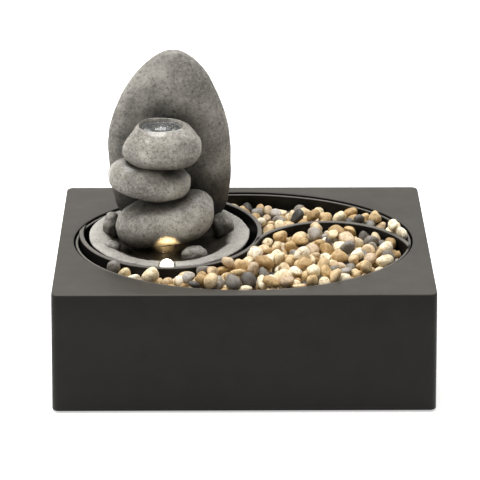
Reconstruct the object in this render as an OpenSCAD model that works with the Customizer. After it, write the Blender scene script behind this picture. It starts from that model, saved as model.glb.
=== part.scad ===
// Tabletop water fountain: a low box with an oval pebble tray, and a lift-off stack of river stones.
// A pump in the well under the stones feeds the cratered top stone, and the water falls back.
// Origin: centre of the base at the standing surface. +X right, +Y back, +Z up. Millimetres.

/* [Casing] */
// Width of the top plate, left to right
casing_width = 280; // [260:1:340]
// Depth of the top plate, front to back
casing_depth = 202; // [190:1:250]
// Height of the top plate above the table
casing_height = 95; // [88:1:120]
// How far each wall leans out from plate to base
wall_draft = 1.9; // [0:0.1:4]
// Casing wall and plate thickness
casing_wall = 3; // [2:0.5:5]
// Radius of the casing's upright corners
corner_r = 5; // [2:0.5:12]
// Bevel round the top plate's edge
top_bevel = 0.8; // [0.2:0.1:2]
// Gap from the table to the casing's lower edge
base_gap = 1.5; // [1:0.5:4]

/* [Opening and tray] */
// Width of the plate left of and right of the opening
side_web = 11.3; // [8:0.1:20]
// Width of the plate in front of and behind the opening, on average
front_web = 9.5; // [6:0.1:20]
// How far the opening sits forward of the plate's middle
opening_forward = 1; // [0:0.5:3]
// Gap between the opening's edge and the tray's wall
tray_gap = 1.2; // [0.5:0.1:3]
// Tray wall thickness
tray_wall = 2; // [1.5:0.1:4]
// How far the tray's rim sits below the plate's top
tray_rim_drop = 1.2; // [0.2:0.1:4]
// Depth of the pebble compartments below the plate's top
tray_depth = 13.5; // [12:0.5:25]
// Tray floor thickness
tray_floor = 2; // [1.5:0.5:4]
// How far the ring and the curved rib stand above the plate's top
rim_rise = 1; // [0:0.5:4]

/* [Ring and rib] */
// Outside radius of the ring round the stones
ring_r = 70; // [60:0.5:75]
// Thickness of the ring and the rib
ring_wall = 3.5; // [2:0.5:6]
// Ring centre behind the opening's centre
ring_back = 14.2; // [0:0.1:20]
// How far the rib's foot runs into the ring
rib_bite = 1; // [0.5:0.1:1.5]
// Radius of the curved rib, to its middle
rib_r = 62.2; // [50:0.1:80]
// Direction from the ring to the rib's centre, below the X axis
rib_fall = 20.8; // [10:0.1:40]
// Width of a drain slot through the ring
drain_slot_w = 6; // [3:0.5:10]
// Height of a drain slot
drain_slot_h = 2.4; // [1.5:0.1:4]

/* [Well] */
// How much wider the well is than the ring's opening
well_past_ring = 1; // [0.5:0.5:1.5]
// Well wall thickness
well_wall = 2; // [1.5:0.5:4]
// Height of the well floor's underside above the table
well_base = 9; // [7:0.5:15]
// Width of the well's flange
well_flange = 6; // [4:0.5:12]
// Height of the water in the well above its floor
water_depth = 50; // [20:1:60]

/* [Stones] */
// Mean gap between the stone dish's rim and the ring
dish_ring_gap = 5; // [3:0.5:16]
// How much wider the dish is at its rim than at its underside
dish_flare = 8.5; // [3:0.5:15]
// How far the dish sits forward of the ring's centre
dish_forward = 2.5; // [0:0.5:4]
// Gap between the dish and the tray's back wall, where the dish is cut away
dish_gap = 2; // [1:0.5:5]
// Width of the dish's sloping rim
rim_width = 14.5; // [8:0.5:20]
// How much the dish's hollow narrows from its mouth to its floor
hollow_slope = 11; // [4:0.5:16]
// How far the sloping rim falls from edge to mouth
rim_fall = 2.4; // [0.5:0.1:5]
// Thickness of the dish
dish_wall = 3; // [2:0.5:4]
// How far the dish's rim sits below the ring's top
dish_rim_drop = 0.8; // [0:0.1:4]
// Depth of the dish, rim to underside
dish_depth = 13; // [8:0.5:20]
// Upright stone: half width
back_a = 47.2; // [30:0.1:60]
// Upright stone: half thickness
back_b = 17; // [12:0.5:22]
// Upright stone: height of its widest place above the dish's floor
back_rise = 62.8; // [40:0.1:80]
// Upright stone: from its widest place to its top
back_c = 81.8; // [50:0.1:95]
// Lowest stacked stone: half width
lower_a = 40; // [25:0.5:50]
// Lowest stacked stone: half depth
lower_b = 27; // [20:0.5:28]
// Lowest stacked stone: half height
lower_c = 19.5; // [12:0.5:24]
// Lowest stacked stone: tilt, right side up
lower_tilt = 13; // [0:1:18]
// Middle stacked stone: half width
middle_a = 31.5; // [22:0.5:40]
// Middle stacked stone: half depth
middle_b = 24; // [18:0.5:28]
// Middle stacked stone: half height
middle_c = 17.5; // [12:0.5:24]
// Top stone: half width
top_a = 30; // [22:0.5:40]
// Top stone: half depth
top_b = 24; // [18:0.5:28]
// Top stone: half height
top_c = 20.5; // [15:0.5:28]
// Radius of the bowl's mouth in the top stone
bowl_r = 18; // [12:0.5:21]
// Depth of the bowl
bowl_depth = 10; // [6:0.5:14]

/* [Water tube and pump] */
// Outside radius of the riser tube
tube_r = 4.5; // [3:0.1:6]
// Riser tube wall
tube_wall = 1.4; // [1:0.1:2]
// Radius of the pump's outlet nozzle
nozzle_r = 4; // [3:0.1:5]
// Wall of the outlet nozzle
nozzle_wall = 1.3; // [0.8:0.1:2]
// Height of the pump's case
pump_height = 32; // [28:0.5:40]
// Width of the pump's case
pump_width = 44; // [38:0.5:56]
// Length of the pump's case
pump_length = 38; // [34:0.5:50]
// Wall of the pump's case
pump_wall = 2.5; // [1.5:0.1:4]
// Height of the suction cups
cup_height = 6; // [4:0.5:10]
// Radius of the rotor's magnet
magnet_r = 8.8; // [7:0.1:9.5]
// Length of the rotor's magnet
magnet_length = 27; // [20:0.5:27]
// Radius of the pump's shaft
shaft_r = 1.5; // [1:0.1:2]
// Radius of the impeller, over its blades
impeller_r = 12.5; // [9:0.5:13]
// Radial running clearance of turning pieces
run_clear = 0.06; // [0.02:0.01:0.1]
// Gap left between pieces that only sit near each other
seat_clear = 0.3; // [0.1:0.1:0.6]

/* [Light, leads and rear panel] */
// Radius of the lamp's housing
lamp_r = 5.5; // [3.5:0.1:6]
// Pump lead radius
pump_lead_r = 1.8; // [1.2:0.1:2.5]
// Lamp lead radius
lamp_lead_r = 1.2; // [0.8:0.1:1.8]
// Depth of the recess for socket and switch
panel_recess = 4; // [2:0.5:6]
// Radius of the socket's barrel
socket_r = 5.5; // [4.5:0.1:7]
// Width of the switch's bezel
switch_w = 21; // [18:0.5:26]
// Height of the switch's bezel
switch_h = 15; // [12:0.5:20]
// How far the rocker swings between off and on
rocker_swing = 18; // [10:1:24]

/* [Screws and feet] */
// Radius of a screw's shank
screw_r = 1.45; // [1:0.05:2]
// Radius of a screw's head
screw_head_r = 2.9; // [2:0.1:4]
// Radius of a foot pad
foot_r = 8; // [5:0.5:12]
// Depth of the recess each foot sits in
foot_recess = 1; // [0.5:0.1:2]

/* [Pebbles] */
// Spacing of the bottom layer
pebble_pitch = 15; // [13:0.1:18]
// Smallest pebble radius
pebble_r_min = 5.2; // [4:0.1:6]
// Range of pebble radii above the smallest
pebble_r_more = 1.9; // [0.5:0.1:2.2]
// Smallest pebble thickness
pebble_t_min = 5.6; // [4:0.1:7]
// Range of pebble thicknesses above the smallest
pebble_t_more = 1.6; // [0:0.1:3]
// Seed for the pebbles' sizes and colours
pebble_seed = 7; // [1:1:99]

/* [Hidden] */
half_w = casing_width / 2;
half_d = casing_depth / 2;
plate_under = casing_height - casing_wall;
open_a = half_w - side_web;
open_b = half_d - front_web;
open_y = -opening_forward;
tray_out = -tray_gap;
tray_in = -tray_gap - tray_wall;
tray_rim_z = casing_height - tray_rim_drop;
tray_top_z = casing_height - tray_depth;
tray_low_z = tray_top_z - tray_floor;
ring_top_z = casing_height + rim_rise;
ring_in_r = ring_r - ring_wall;
ring_x = -(open_a + tray_in - ring_r);
well_r = ring_in_r + well_past_ring;
ring_y = open_y + ring_back;
rib_in_r = rib_r - ring_wall / 2;
rib_x = ring_x + (ring_r + rib_in_r - rib_bite) * cos(rib_fall);
rib_y = ring_y - (ring_r + rib_in_r - rib_bite) * sin(rib_fall);
well_floor_z = well_base + well_wall;
// Ears that hold the tray under the plate, clear of the opening's corner points
ear_out = 8;
ear_r = 5;
ear_angle = 45;
ear_x = (open_a + ear_out) * cos(ear_angle);
ear_y = (open_b + ear_out) * sin(ear_angle);
ear_turn = atan2(open_a * sin(ear_angle), open_b * cos(ear_angle));
ear_top_z = plate_under - 6;
ear_thick = 3;
boss_r = 4.5;
// Bottom cover and its screws
cover_thick = 3;
cover_top_z = base_gap + cover_thick;
screw_in = 9;
post_r = 10;
post_x = half_w - screw_in;
post_y = half_d - screw_in;
post_boss = 3;
cover_sink = 2.5;
foot_x = half_w - 26;
foot_y = half_d - 24;
foot_height = base_gap + foot_recess;
lug_thick = 2.5;
lug_len = 12;
// Dish and stones, from the ring outward. On a dish under 61.5 the stones shrink in plan with it.
dish_r = ring_in_r - dish_ring_gap;
dish_floor_r = dish_r - dish_flare;
mouth_r = dish_r - rim_width;
hollow_r = mouth_r - hollow_slope;
stone_k = min(1, dish_r / 61.5);
back_wide = back_a * stone_k;
back_deep = back_b * stone_k;
lower_wide = lower_a * stone_k;
lower_deep = lower_b * stone_k;
middle_wide = middle_a * stone_k;
middle_deep = middle_b * stone_k;
top_wide = top_a * stone_k;
top_deep = top_b * stone_k;
dish_low_z = ring_top_z - dish_rim_drop - dish_depth;
dish_top_z = dish_low_z + dish_wall;
dish_rim_z = dish_low_z + dish_depth;
pocket_gap = 0.3;
dish_stone_z = dish_top_z + 3;
dish_x = ring_x - 1;
dish_y = ring_y - dish_forward;
back_x = ring_x - 1.1 * stone_k;
back_y = ring_y + 34.2 * stone_k;
back_mid_z = dish_top_z + back_rise;
stack_y = ring_y - 8.2 * stone_k;
lower_x = ring_x - 3.7 * stone_k;
middle_x = ring_x - 14.7 * stone_k;
top_x = ring_x - 5.2 * stone_k;
tube_x = ring_x - 5.7 * stone_k;
tube_y = stack_y;
pad_r = 19 * stone_k;
seat1_z = dish_top_z + 4.5;
lower_z = seat1_z + lower_c - 1.2;
seat2_z = lower_z + 17.5;
middle_z = seat2_z + 15;
seat3_z = middle_z + 14;
top_z = seat3_z + 14;
bowl_rim_z = top_z + top_c * sqrt(1 - pow(bowl_r / top_wide, 2));
bowl_ball_r = (bowl_r * bowl_r + bowl_depth * bowl_depth) / (2 * bowl_depth);
bowl_low_z = bowl_rim_z - bowl_depth;
tube_bore_r = tube_r + 0.05;
// Pump: shaft along Y under the riser tube
pump_x = tube_x;
pump_low_z = well_floor_z + cup_height;
pump_z = pump_low_z + pump_height / 2;
pump_front = tube_y + 8;
pump_back = pump_front + pump_length;
can_r = magnet_r + 0.5;
can_wall = 1.7;
can_end = pump_front + magnet_length + 4.5;
can_cap = 2.5;
bush_r = 4;
bush_len = 3;
chamber_r = 14;
chamber_wall = 3;
cover_front = pump_front - 14;
face_thick = 2.5;
nozzle_top_z = pump_low_z + pump_height + 17;
sleeve_low_z = nozzle_top_z - 12;
sleeve_r = nozzle_r + run_clear;
sleeve_top_z = nozzle_top_z + 2;
dial_r = 15;
dial_thick = 2.6;
dial_pivot_r = 4;
intake_r = 2.6;
intake_at = 9;
magnet_start = pump_front + 1;
// Lamp
lamp_x = ring_x - 1.7;
lamp_y = ring_y - ring_in_r + 8.3;
lamp_low_z = tray_low_z + 2.5;
lamp_top_z = dish_rim_z - 3;
lamp_core_r = lamp_r - 1.3;
// Grommet through the well's wall
grommet_a = 35;
grommet_z = well_floor_z + 55;
grommet_r = 5;
// Rear panel
panel_z = 34;
panel_x0 = 27;
panel_x1 = 103;
panel_h = 38;
wall_y_at_panel = half_d + wall_draft * (casing_height - panel_z) / (casing_height - base_gap);
panel_face_y = wall_y_at_panel - panel_recess;
panel_inner_y = panel_face_y - casing_wall;
socket_x = 46;
switch_x = 82;
socket_len = 14;
switch_len = 16;
function rnd(k) = rands(0, 1, 1, pebble_seed * 1000 + k)[0];

// The opening's ellipse, grown outward by g.
module oval(g) {
  translate([0, open_y]) scale([open_a + g, open_b + g]) circle(1, $fn = 128);
}

module slab(w, d, r, h) {
  linear_extrude(h) {
    square([w - 2 * r, d], center = true);
    square([w, d - 2 * r], center = true);
    for (x = [-1, 1], y = [-1, 1]) translate([x * (w / 2 - r), y * (d / 2 - r)]) circle(r, $fn = 32);
  }
}

// The drafted block: walls lean out by wall_draft from the plate to the base, shrunk by t all round.
module drafted(t, low, high, bevel) {
  lean = wall_draft / (casing_height - base_gap);
  r = max(corner_r - t, 0.8);
  hull() {
    for (z = bevel > 0 ? [low, high - bevel] : [low, high - 0.01]) {
      grow = lean * (casing_height - z) - t;
      translate([0, 0, z])
        slab(casing_width + 2 * grow, casing_depth + 2 * grow, r, 0.01);
    }
    if (bevel > 0)
      translate([0, 0, high - 0.01])
        slab(casing_width - 2 * t - 2 * bevel, casing_depth - 2 * t - 2 * bevel, r, 0.01);
  }
}

module at_posts() {
  for (x = [-1, 1], y = [-1, 1]) translate([x * post_x, y * post_y, 0]) children();
}

module at_ears() {
  for (x = [-1, 1], y = [-1, 1]) translate([x * ear_x, open_y + y * ear_y, 0]) children();
}

module casing() color([0.2, 0.19, 0.18]) {
  difference() {
    union() {
      difference() {
        drafted(0, base_gap, casing_height, top_bevel);
        drafted(casing_wall, base_gap - 1, plate_under, 0);
      }
      intersection() {
        drafted(1, base_gap, casing_height, 0);
        translate([0, 0, cover_top_z + post_boss])
          at_posts() cylinder(r = post_r, h = plate_under + 1 - cover_top_z - post_boss, $fn = 48);
      }
      translate([0, 0, ear_top_z]) at_ears() cylinder(r = boss_r, h = plate_under + 1 - ear_top_z, $fn = 48);
      translate([panel_x0, panel_inner_y, panel_z - panel_h / 2])
        cube([panel_x1 - panel_x0, wall_y_at_panel - panel_inner_y - 1, panel_h]);
    }
    translate([0, 0, plate_under - 2]) linear_extrude(10) oval(0);
    at_posts() translate([0, 0, base_gap]) cylinder(r = screw_r + 0.1, h = 22, $fn = 32);
    at_ears() translate([0, 0, ear_top_z - 1]) cylinder(r = screw_r + 0.1, h = 6.5, $fn = 32);
    translate([panel_x0 + casing_wall, panel_face_y, panel_z - panel_h / 2 + casing_wall])
      cube([panel_x1 - panel_x0 - 2 * casing_wall, 20, panel_h - 2 * casing_wall]);
    translate([socket_x, panel_face_y + 1, panel_z]) rotate([90, 0, 0])
      cylinder(r = socket_r + 0.1, h = 10, $fn = 48);
    translate([switch_x, panel_face_y, panel_z])
      cube([switch_w - 1.6, 12, switch_h - 1.6], center = true);
  }
}

module bottom_cover() color([0.16, 0.15, 0.15]) {
  inner = 2 * (wall_draft * (casing_height - cover_top_z) / (casing_height - base_gap) - casing_wall - seat_clear);
  difference() {
    union() {
      translate([0, 0, base_gap])
        slab(casing_width + inner, casing_depth + inner, corner_r, cover_thick);
      at_posts() translate([0, 0, base_gap])
        cylinder(r = 5, h = cover_thick + post_boss, $fn = 48);
      translate([ring_x, ring_y, base_gap]) difference() {
        cylinder(r = 50, h = well_base - base_gap, $fn = 96);
        translate([0, 0, -1]) cylinder(r = 48, h = 20, $fn = 96);
      }
    }
    at_posts() translate([0, 0, base_gap - 1]) cylinder(r = screw_r + 0.15, h = 12, $fn = 32);
    at_posts() translate([0, 0, base_gap - 1]) cylinder(r = screw_head_r + 0.3, h = 1 + cover_sink, $fn = 32);
    for (x = [-1, 1], y = [-1, 1]) translate([x * foot_x, y * foot_y, base_gap - 1])
      cylinder(r = foot_r + 0.1, h = 1 + foot_recess, $fn = 48);
  }
}

module cover_screws() color([0.7, 0.7, 0.7]) {
  at_posts() difference() {
    union() {
      translate([0, 0, base_gap + cover_sink - 2.2]) cylinder(r = screw_head_r, h = 2.2, $fn = 32);
      translate([0, 0, base_gap + cover_sink - 0.5]) cylinder(r = screw_r, h = 15, $fn = 32);
    }
    translate([0, 0, base_gap + cover_sink - 2.3]) cylinder(r = 1.3, h = 1.3, $fn = 6);
  }
}

module feet() color([0.12, 0.12, 0.12]) {
  for (x = [-1, 1], y = [-1, 1]) translate([x * foot_x, y * foot_y, 0]) {
    cylinder(r1 = foot_r - 0.6, r2 = foot_r, h = 0.6, $fn = 48);
    translate([0, 0, 0.6]) cylinder(r = foot_r, h = foot_height - 0.6, $fn = 48);
  }
}

module tray_screws() color([0.7, 0.7, 0.7]) {
  at_ears() difference() {
    union() {
      translate([0, 0, ear_top_z - ear_thick - 2]) cylinder(r = screw_head_r, h = 2, $fn = 32);
      translate([0, 0, ear_top_z - ear_thick - 0.5]) cylinder(r = screw_r, h = 8, $fn = 32);
    }
    translate([0, 0, ear_top_z - ear_thick - 2.1]) cylinder(r = 1.3, h = 1.2, $fn = 6);
  }
}

// The wedge of the rib's circle that carries the rib, from the ring round to the tray's right wall.
module rib_wedge() {
  a0 = -20;
  a1 = 180 - rib_fall + 1;
  far = 3 * rib_r;
  polygon(concat([[0, 0]], [for (i = [0:8]) let(a = a0 + (a1 - a0) * i / 8) [far * cos(a), far * sin(a)]]));
}

module basin_tray() color([0.18, 0.17, 0.17]) {
  difference() {
    union() {
      translate([0, 0, tray_low_z]) linear_extrude(tray_rim_z - tray_low_z) difference() {
        oval(tray_out);
        oval(tray_in);
      }
      translate([0, 0, tray_low_z]) linear_extrude(tray_floor) difference() {
        oval(tray_in + 1);
        translate([ring_x, ring_y]) circle(ring_in_r, $fn = 128);
      }
      translate([0, 0, tray_low_z]) linear_extrude(ring_top_z - tray_low_z) intersection() {
        oval(tray_in + 1);
        union() {
          translate([ring_x, ring_y]) difference() {
            circle(ring_r, $fn = 128);
            circle(ring_in_r, $fn = 128);
          }
          difference() {
            translate([rib_x, rib_y]) intersection() {
              difference() {
                circle(rib_r + ring_wall / 2, $fn = 128);
                circle(rib_in_r, $fn = 128);
              }
              rib_wedge();
            }
            translate([ring_x, ring_y]) circle(ring_in_r + 1, $fn = 128);
          }
        }
      }
      at_ears() translate([0, 0, ear_top_z - ear_thick]) cylinder(r = ear_r, h = ear_thick, $fn = 48);
      difference() {
        for (x = [-1, 1], y = [-1, 1])
          translate([x * ear_x, open_y + y * ear_y, ear_top_z - ear_thick])
            rotate([0, 0, x > 0 ? y * ear_turn : 180 - y * ear_turn])
              translate([-ear_out - tray_wall - 2, -ear_r, 0]) cube([ear_out + tray_wall + 2, 2 * ear_r, ear_thick]);
        translate([0, 0, tray_low_z - 1]) linear_extrude(30) oval(tray_in + 1);
      }
      // ledges that the dish rests on
      for (a = [30, 150, 210, 330]) translate([ring_x, ring_y, dish_low_z - lug_thick]) rotate([0, 0, a])
        translate([dish_floor_r - 7, -lug_len / 2, 0]) cube([ring_in_r + 1 - dish_floor_r + 7, lug_len, lug_thick]);
      // shelf that the lamp stands on
      translate([lamp_x - 5, ring_y - ring_in_r - 1, tray_low_z])
        cube([10, lamp_y + 5.5 - ring_y + ring_in_r + 1, 2.5]);
    }
    at_ears() translate([0, 0, ear_top_z - ear_thick - 1]) cylinder(r = screw_r + 0.15, h = ear_thick + 2, $fn = 32);
    for (i = [0:6]) translate([ring_x, ring_y, tray_top_z + drain_slot_h / 2]) rotate([0, 0, -130 + 30 * i])
      translate([ring_r - ring_wall / 2, 0, 0]) cube([2 * ring_wall, drain_slot_w, drain_slot_h], center = true);
    translate([lamp_x, lamp_y, tray_low_z - 1]) cylinder(r = lamp_lead_r + 0.3, h = 5, $fn = 32);
  }
}

// The well's outline: a circle under the ring, cut off where the tray ends.
module well_outline(r, g) {
  intersection() {
    translate([ring_x, ring_y]) circle(r, $fn = 128);
    oval(g);
  }
}

module reservoir_well() color([0.2, 0.2, 0.2]) {
  difference() {
    union() {
      translate([0, 0, well_base]) linear_extrude(tray_low_z - well_base) well_outline(well_r + well_wall, tray_out);
      translate([0, 0, tray_low_z - 2]) linear_extrude(2) well_outline(well_r + well_wall + well_flange, tray_out + 0.5);
    }
    translate([0, 0, well_floor_z]) linear_extrude(100) well_outline(well_r, tray_in);
    translate([ring_x, ring_y, grommet_z]) rotate([0, 0, grommet_a]) translate([well_r - 3, 0, 0])
      rotate([0, 90, 0]) cylinder(r = grommet_r - 1, h = 10, $fn = 48);
  }
}

module pump_body() color([0.1, 0.1, 0.1]) {
  translate([pump_x, 0, pump_z]) difference() {
    union() {
      difference() {
        translate([-pump_width / 2, pump_front, -pump_height / 2]) cube([pump_width, pump_length, pump_height]);
        translate([-pump_width / 2 + pump_wall, pump_front + pump_wall, -pump_height / 2 + pump_wall])
          cube([pump_width - 2 * pump_wall, pump_length, pump_height - 2 * pump_wall]);
      }
      translate([0, can_end + can_cap, 0]) rotate([90, 0, 0])
        cylinder(r = can_r + can_wall, h = can_end + can_cap - pump_front - 1, $fn = 64);
    }
    translate([0, can_end - 2, 0]) rotate([90, 0, 0]) cylinder(r = can_r, h = 60, $fn = 64);
    translate([0, can_end, 0]) rotate([90, 0, 0]) cylinder(r = bush_r + 0.05, h = 5, $fn = 48);
  }
}

module pump_back_cover() color([0.1, 0.1, 0.1]) {
  translate([pump_x, pump_back - 2, pump_z]) difference() {
    union() {
      translate([-pump_width / 2 + pump_wall + 0.05, 0, -pump_height / 2 + pump_wall + 0.05])
        cube([pump_width - 2 * pump_wall - 0.1, 2, pump_height - 2 * pump_wall - 0.1]);
      translate([0, 5, 9]) rotate([90, 0, 0]) cylinder(r = 4, h = 4, $fn = 48);
    }
    translate([0, 6, 9]) rotate([90, 0, 0]) cylinder(r = pump_lead_r + 0.05, h = 10, $fn = 32);
  }
}

// The iron core and coil fill the case between its front wall and its back cover.
module stator_core() color([0.5, 0.5, 0.5]) {
  core_w = pump_width - 2 * pump_wall - 3;
  translate([pump_x, pump_front + pump_wall + 8, pump_z]) difference() {
    translate([-core_w / 2, 0, -pump_height / 2 + pump_wall]) cube([core_w, 14, pump_height - 2 * pump_wall]);
    translate([0, 20, 0]) rotate([90, 0, 0]) cylinder(r = can_r + can_wall + 0.1, h = 30, $fn = 64);
  }
}

module stator_coil() color([0.7, 0.4, 0.2]) {
  core_w = pump_width - 2 * pump_wall - 3;
  translate([pump_x, pump_front + pump_wall + 22, pump_z]) difference() {
    translate([-core_w / 2, 0, -pump_height / 2 + pump_wall]) cube([core_w, 5, pump_height - 2 * pump_wall]);
    translate([0, 20, 0]) rotate([90, 0, 0]) cylinder(r = can_r + can_wall + 0.1, h = 30, $fn = 64);
  }
}

module volute_cover() color([0.12, 0.12, 0.12]) {
  difference() {
    union() {
      translate([pump_x, pump_front, pump_z]) rotate([90, 0, 0])
        cylinder(r = chamber_r + chamber_wall - 1.5, h = pump_front - cover_front, $fn = 64);
      translate([pump_x - pump_width / 2, pump_front - 2.5, pump_low_z]) cube([pump_width, 2.5, pump_height]);
      translate([tube_x, tube_y, pump_z + chamber_r - 2])
        cylinder(r = nozzle_r, h = nozzle_top_z - pump_z - chamber_r + 2, $fn = 48);
      translate([pump_x, cover_front + 0.5, pump_z]) rotate([90, 0, 0])
        cylinder(r = dial_pivot_r, h = 0.5 + dial_thick + 2 * 0.2, $fn = 48);
    }
    translate([pump_x, pump_front + 1, pump_z]) rotate([90, 0, 0])
      cylinder(r = chamber_r, h = 1 + pump_front - cover_front - face_thick, $fn = 64);
    translate([pump_x, cover_front + face_thick + 1, pump_z]) rotate([90, 0, 0])
      cylinder(r = shaft_r + 0.05, h = 1 + face_thick, $fn = 32);
    for (i = [0:3]) translate([pump_x, cover_front - 1, pump_z]) rotate([0, 90 * i, 0])
      translate([intake_at, 0, 0]) rotate([-90, 0, 0]) cylinder(r = intake_r, h = face_thick + 2, $fn = 32);
    translate([tube_x, tube_y, pump_z + chamber_r - 4])
      cylinder(r = nozzle_r - nozzle_wall, h = 60, $fn = 48);
  }
}

module flow_dial() color([0.15, 0.15, 0.15]) {
  y0 = cover_front - 0.2;
  translate([pump_x, y0, pump_z]) rotate([90, 0, 0]) difference() {
    union() {
      cylinder(r = dial_r, h = dial_thick, $fn = 64);
      translate([-2, dial_r - 2, 0]) cube([4, 6, dial_thick]);
    }
    translate([0, 0, -1]) cylinder(r = dial_pivot_r + run_clear, h = 10, $fn = 48);
    for (i = [0:3]) rotate([0, 0, 90 * i]) translate([intake_at, 0, -1])
      cylinder(r = intake_r, h = 10, $fn = 32);
  }
}

module dial_retainer() color([0.12, 0.12, 0.12]) {
  translate([pump_x, cover_front - dial_thick - 0.4, pump_z]) rotate([90, 0, 0])
    cylinder(r = dial_pivot_r + 2, h = 1.5, $fn = 48);
}

module impeller() color([0.85, 0.85, 0.85]) {
  y1 = pump_front - 0.8;
  translate([pump_x, y1, pump_z]) rotate([90, 0, 0]) difference() {
    union() {
      cylinder(r = impeller_r, h = 1.5, $fn = 64);
      translate([0, 0, -0.8 - 1]) cylinder(r = 4, h = 10.8, $fn = 48);
      for (i = [0:5]) rotate([0, 0, 60 * i]) translate([3, -0.6, 1]) cube([impeller_r - 3.3, 1.2, 6.5]);
    }
    translate([0, 0, -10]) cylinder(r = shaft_r + run_clear, h = 40, $fn = 32);
  }
}

module rotor_magnet() color([0.3, 0.3, 0.3]) {
  translate([pump_x, magnet_start + magnet_length, pump_z]) rotate([90, 0, 0]) difference() {
    cylinder(r = magnet_r, h = magnet_length, $fn = 64);
    translate([0, 0, -1]) cylinder(r = shaft_r + run_clear, h = magnet_length + 2, $fn = 32);
  }
}

module pump_shaft() color([0.9, 0.9, 0.9]) {
  translate([pump_x, can_end, pump_z]) rotate([90, 0, 0])
    cylinder(r = shaft_r, h = can_end - cover_front - 0.2, $fn = 32);
}

module shaft_bushings() color([0.2, 0.2, 0.2]) {
  translate([pump_x, can_end, pump_z]) rotate([90, 0, 0]) difference() {
    cylinder(r = bush_r, h = bush_len, $fn = 48);
    translate([0, 0, -1]) cylinder(r = shaft_r + 0.05, h = 10, $fn = 32);
  }
  translate([pump_x, cover_front + face_thick + 1, pump_z]) rotate([90, 0, 0]) difference() {
    cylinder(r = bush_r, h = 1, $fn = 48);
    translate([0, 0, -1]) cylinder(r = shaft_r + 0.05, h = 10, $fn = 32);
  }
}

module suction_cups() color([0.25, 0.25, 0.25]) {
  for (x = [-1, 1], y = [0, 1])
    translate([pump_x + x * (pump_width / 2 - 7), pump_front + 7 + y * (pump_length - 14), well_floor_z]) {
      cylinder(r1 = 6.5, r2 = 3.5, h = cup_height - 2.5, $fn = 48);
      translate([0, 0, cup_height - 2.5]) cylinder(r = 3.5, h = 2.5, $fn = 48);
    }
}

// An eight-sided lead swept along points p, with radius r.
function unit(v) = v / norm(v);
function way(p, i) = unit(p[min(i + 1, len(p) - 1)] - p[max(i - 1, 0)]);
function side_of(d) = unit(cross(d, abs(d[2]) > 0.9 ? [0, 1, 0] : [0, 0, 1]));
module lead(p, r) {
  n = len(p);
  k = 8;
  pts = [for (i = [0:n - 1]) let(d = way(p, i), s = side_of(d), u = cross(s, d))
    for (j = [0:k - 1]) p[i] + r * (cos(360 * j / k) * s + sin(360 * j / k) * u)];
  sides = [for (i = [0:n - 2], j = [0:k - 1])
    [i * k + j, i * k + (j + 1) % k, (i + 1) * k + (j + 1) % k, (i + 1) * k + j]];
  caps = [[for (j = [k - 1:-1:0]) j], [for (j = [0:k - 1]) (n - 1) * k + j]];
  polyhedron(points = pts, faces = concat(sides, caps));
}
// A smooth path through key points q (first and last are end directions), s steps a span.
function spline(q, s) = concat([for (i = [1:len(q) - 3], t = [0:s - 1]) blend_at(q, i, t / s)], [q[len(q) - 2]]);
function blend_at(q, i, t) = 0.5 * (2 * q[i] + (q[i + 1] - q[i - 1]) * t
  + (2 * q[i - 1] - 5 * q[i] + 4 * q[i + 1] - q[i + 2]) * t * t
  + (3 * q[i] - q[i - 1] - 3 * q[i + 1] + q[i + 2]) * t * t * t);
function in_well(r, a, z) = [ring_x + r * cos(a), ring_y + r * sin(a), z];
function at_grommet(r, dz, da) = in_well(r, grommet_a, grommet_z + dz)
  + da * [-sin(grommet_a), cos(grommet_a), 0];

module pump_lead() color([0.08, 0.08, 0.08]) {
  q = [[pump_x, pump_back - 9, pump_z + 9], [pump_x, pump_back - 4, pump_z + 9], [pump_x, pump_back, pump_z + 9],
    [pump_x, pump_back + 5, pump_z + 9], [pump_x, pump_back + 8, pump_z + 9],
    [pump_x + 9, pump_back + 12, pump_z + 13],
    in_well(well_r - 16, 62, grommet_z - 10), at_grommet(well_r - 12, 2.2, 0), at_grommet(well_r - 6, 2.2, 0),
    at_grommet(well_r + 4, 2.2, 0), at_grommet(well_r + 10, 2.2, 0),
    [switch_x - 36, panel_inner_y - 32, panel_z + 18],
    [switch_x - 9, panel_inner_y - 26, panel_z + 3], [switch_x - 5, panel_face_y - switch_len - 3, panel_z],
    [switch_x - 5, panel_face_y - switch_len + 2, panel_z], [switch_x - 5, panel_face_y, panel_z]];
  lead(spline(q, 3), pump_lead_r);
}

module lamp_lead() color([0.08, 0.08, 0.08]) {
  q = concat([[lamp_x, lamp_y, lamp_low_z + 8], [lamp_x, lamp_y, lamp_low_z + 2],
    [lamp_x, lamp_y, lamp_low_z - 4], [lamp_x, lamp_y, lamp_low_z - 8]],
    [for (i = [0:3]) in_well(well_r - 5, -68 + 28 * i, lamp_low_z - 13 - 1.2 * i)],
    [at_grommet(well_r - 10, -2.2, 0), at_grommet(well_r - 6, -2.2, 0), at_grommet(well_r + 4, -2.2, 0),
    at_grommet(well_r + 8, -2.2, 0),
    [socket_x - 26, panel_inner_y - 34, panel_z + 10], [socket_x - 10, panel_inner_y - 24, panel_z + 1],
    [socket_x - 2.6, panel_face_y - socket_len - 3, panel_z],
    [socket_x - 2.6, panel_face_y - socket_len + 2, panel_z], [socket_x - 2.6, panel_face_y, panel_z]]);
  lead(spline(q, 2), lamp_lead_r);
}

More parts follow.
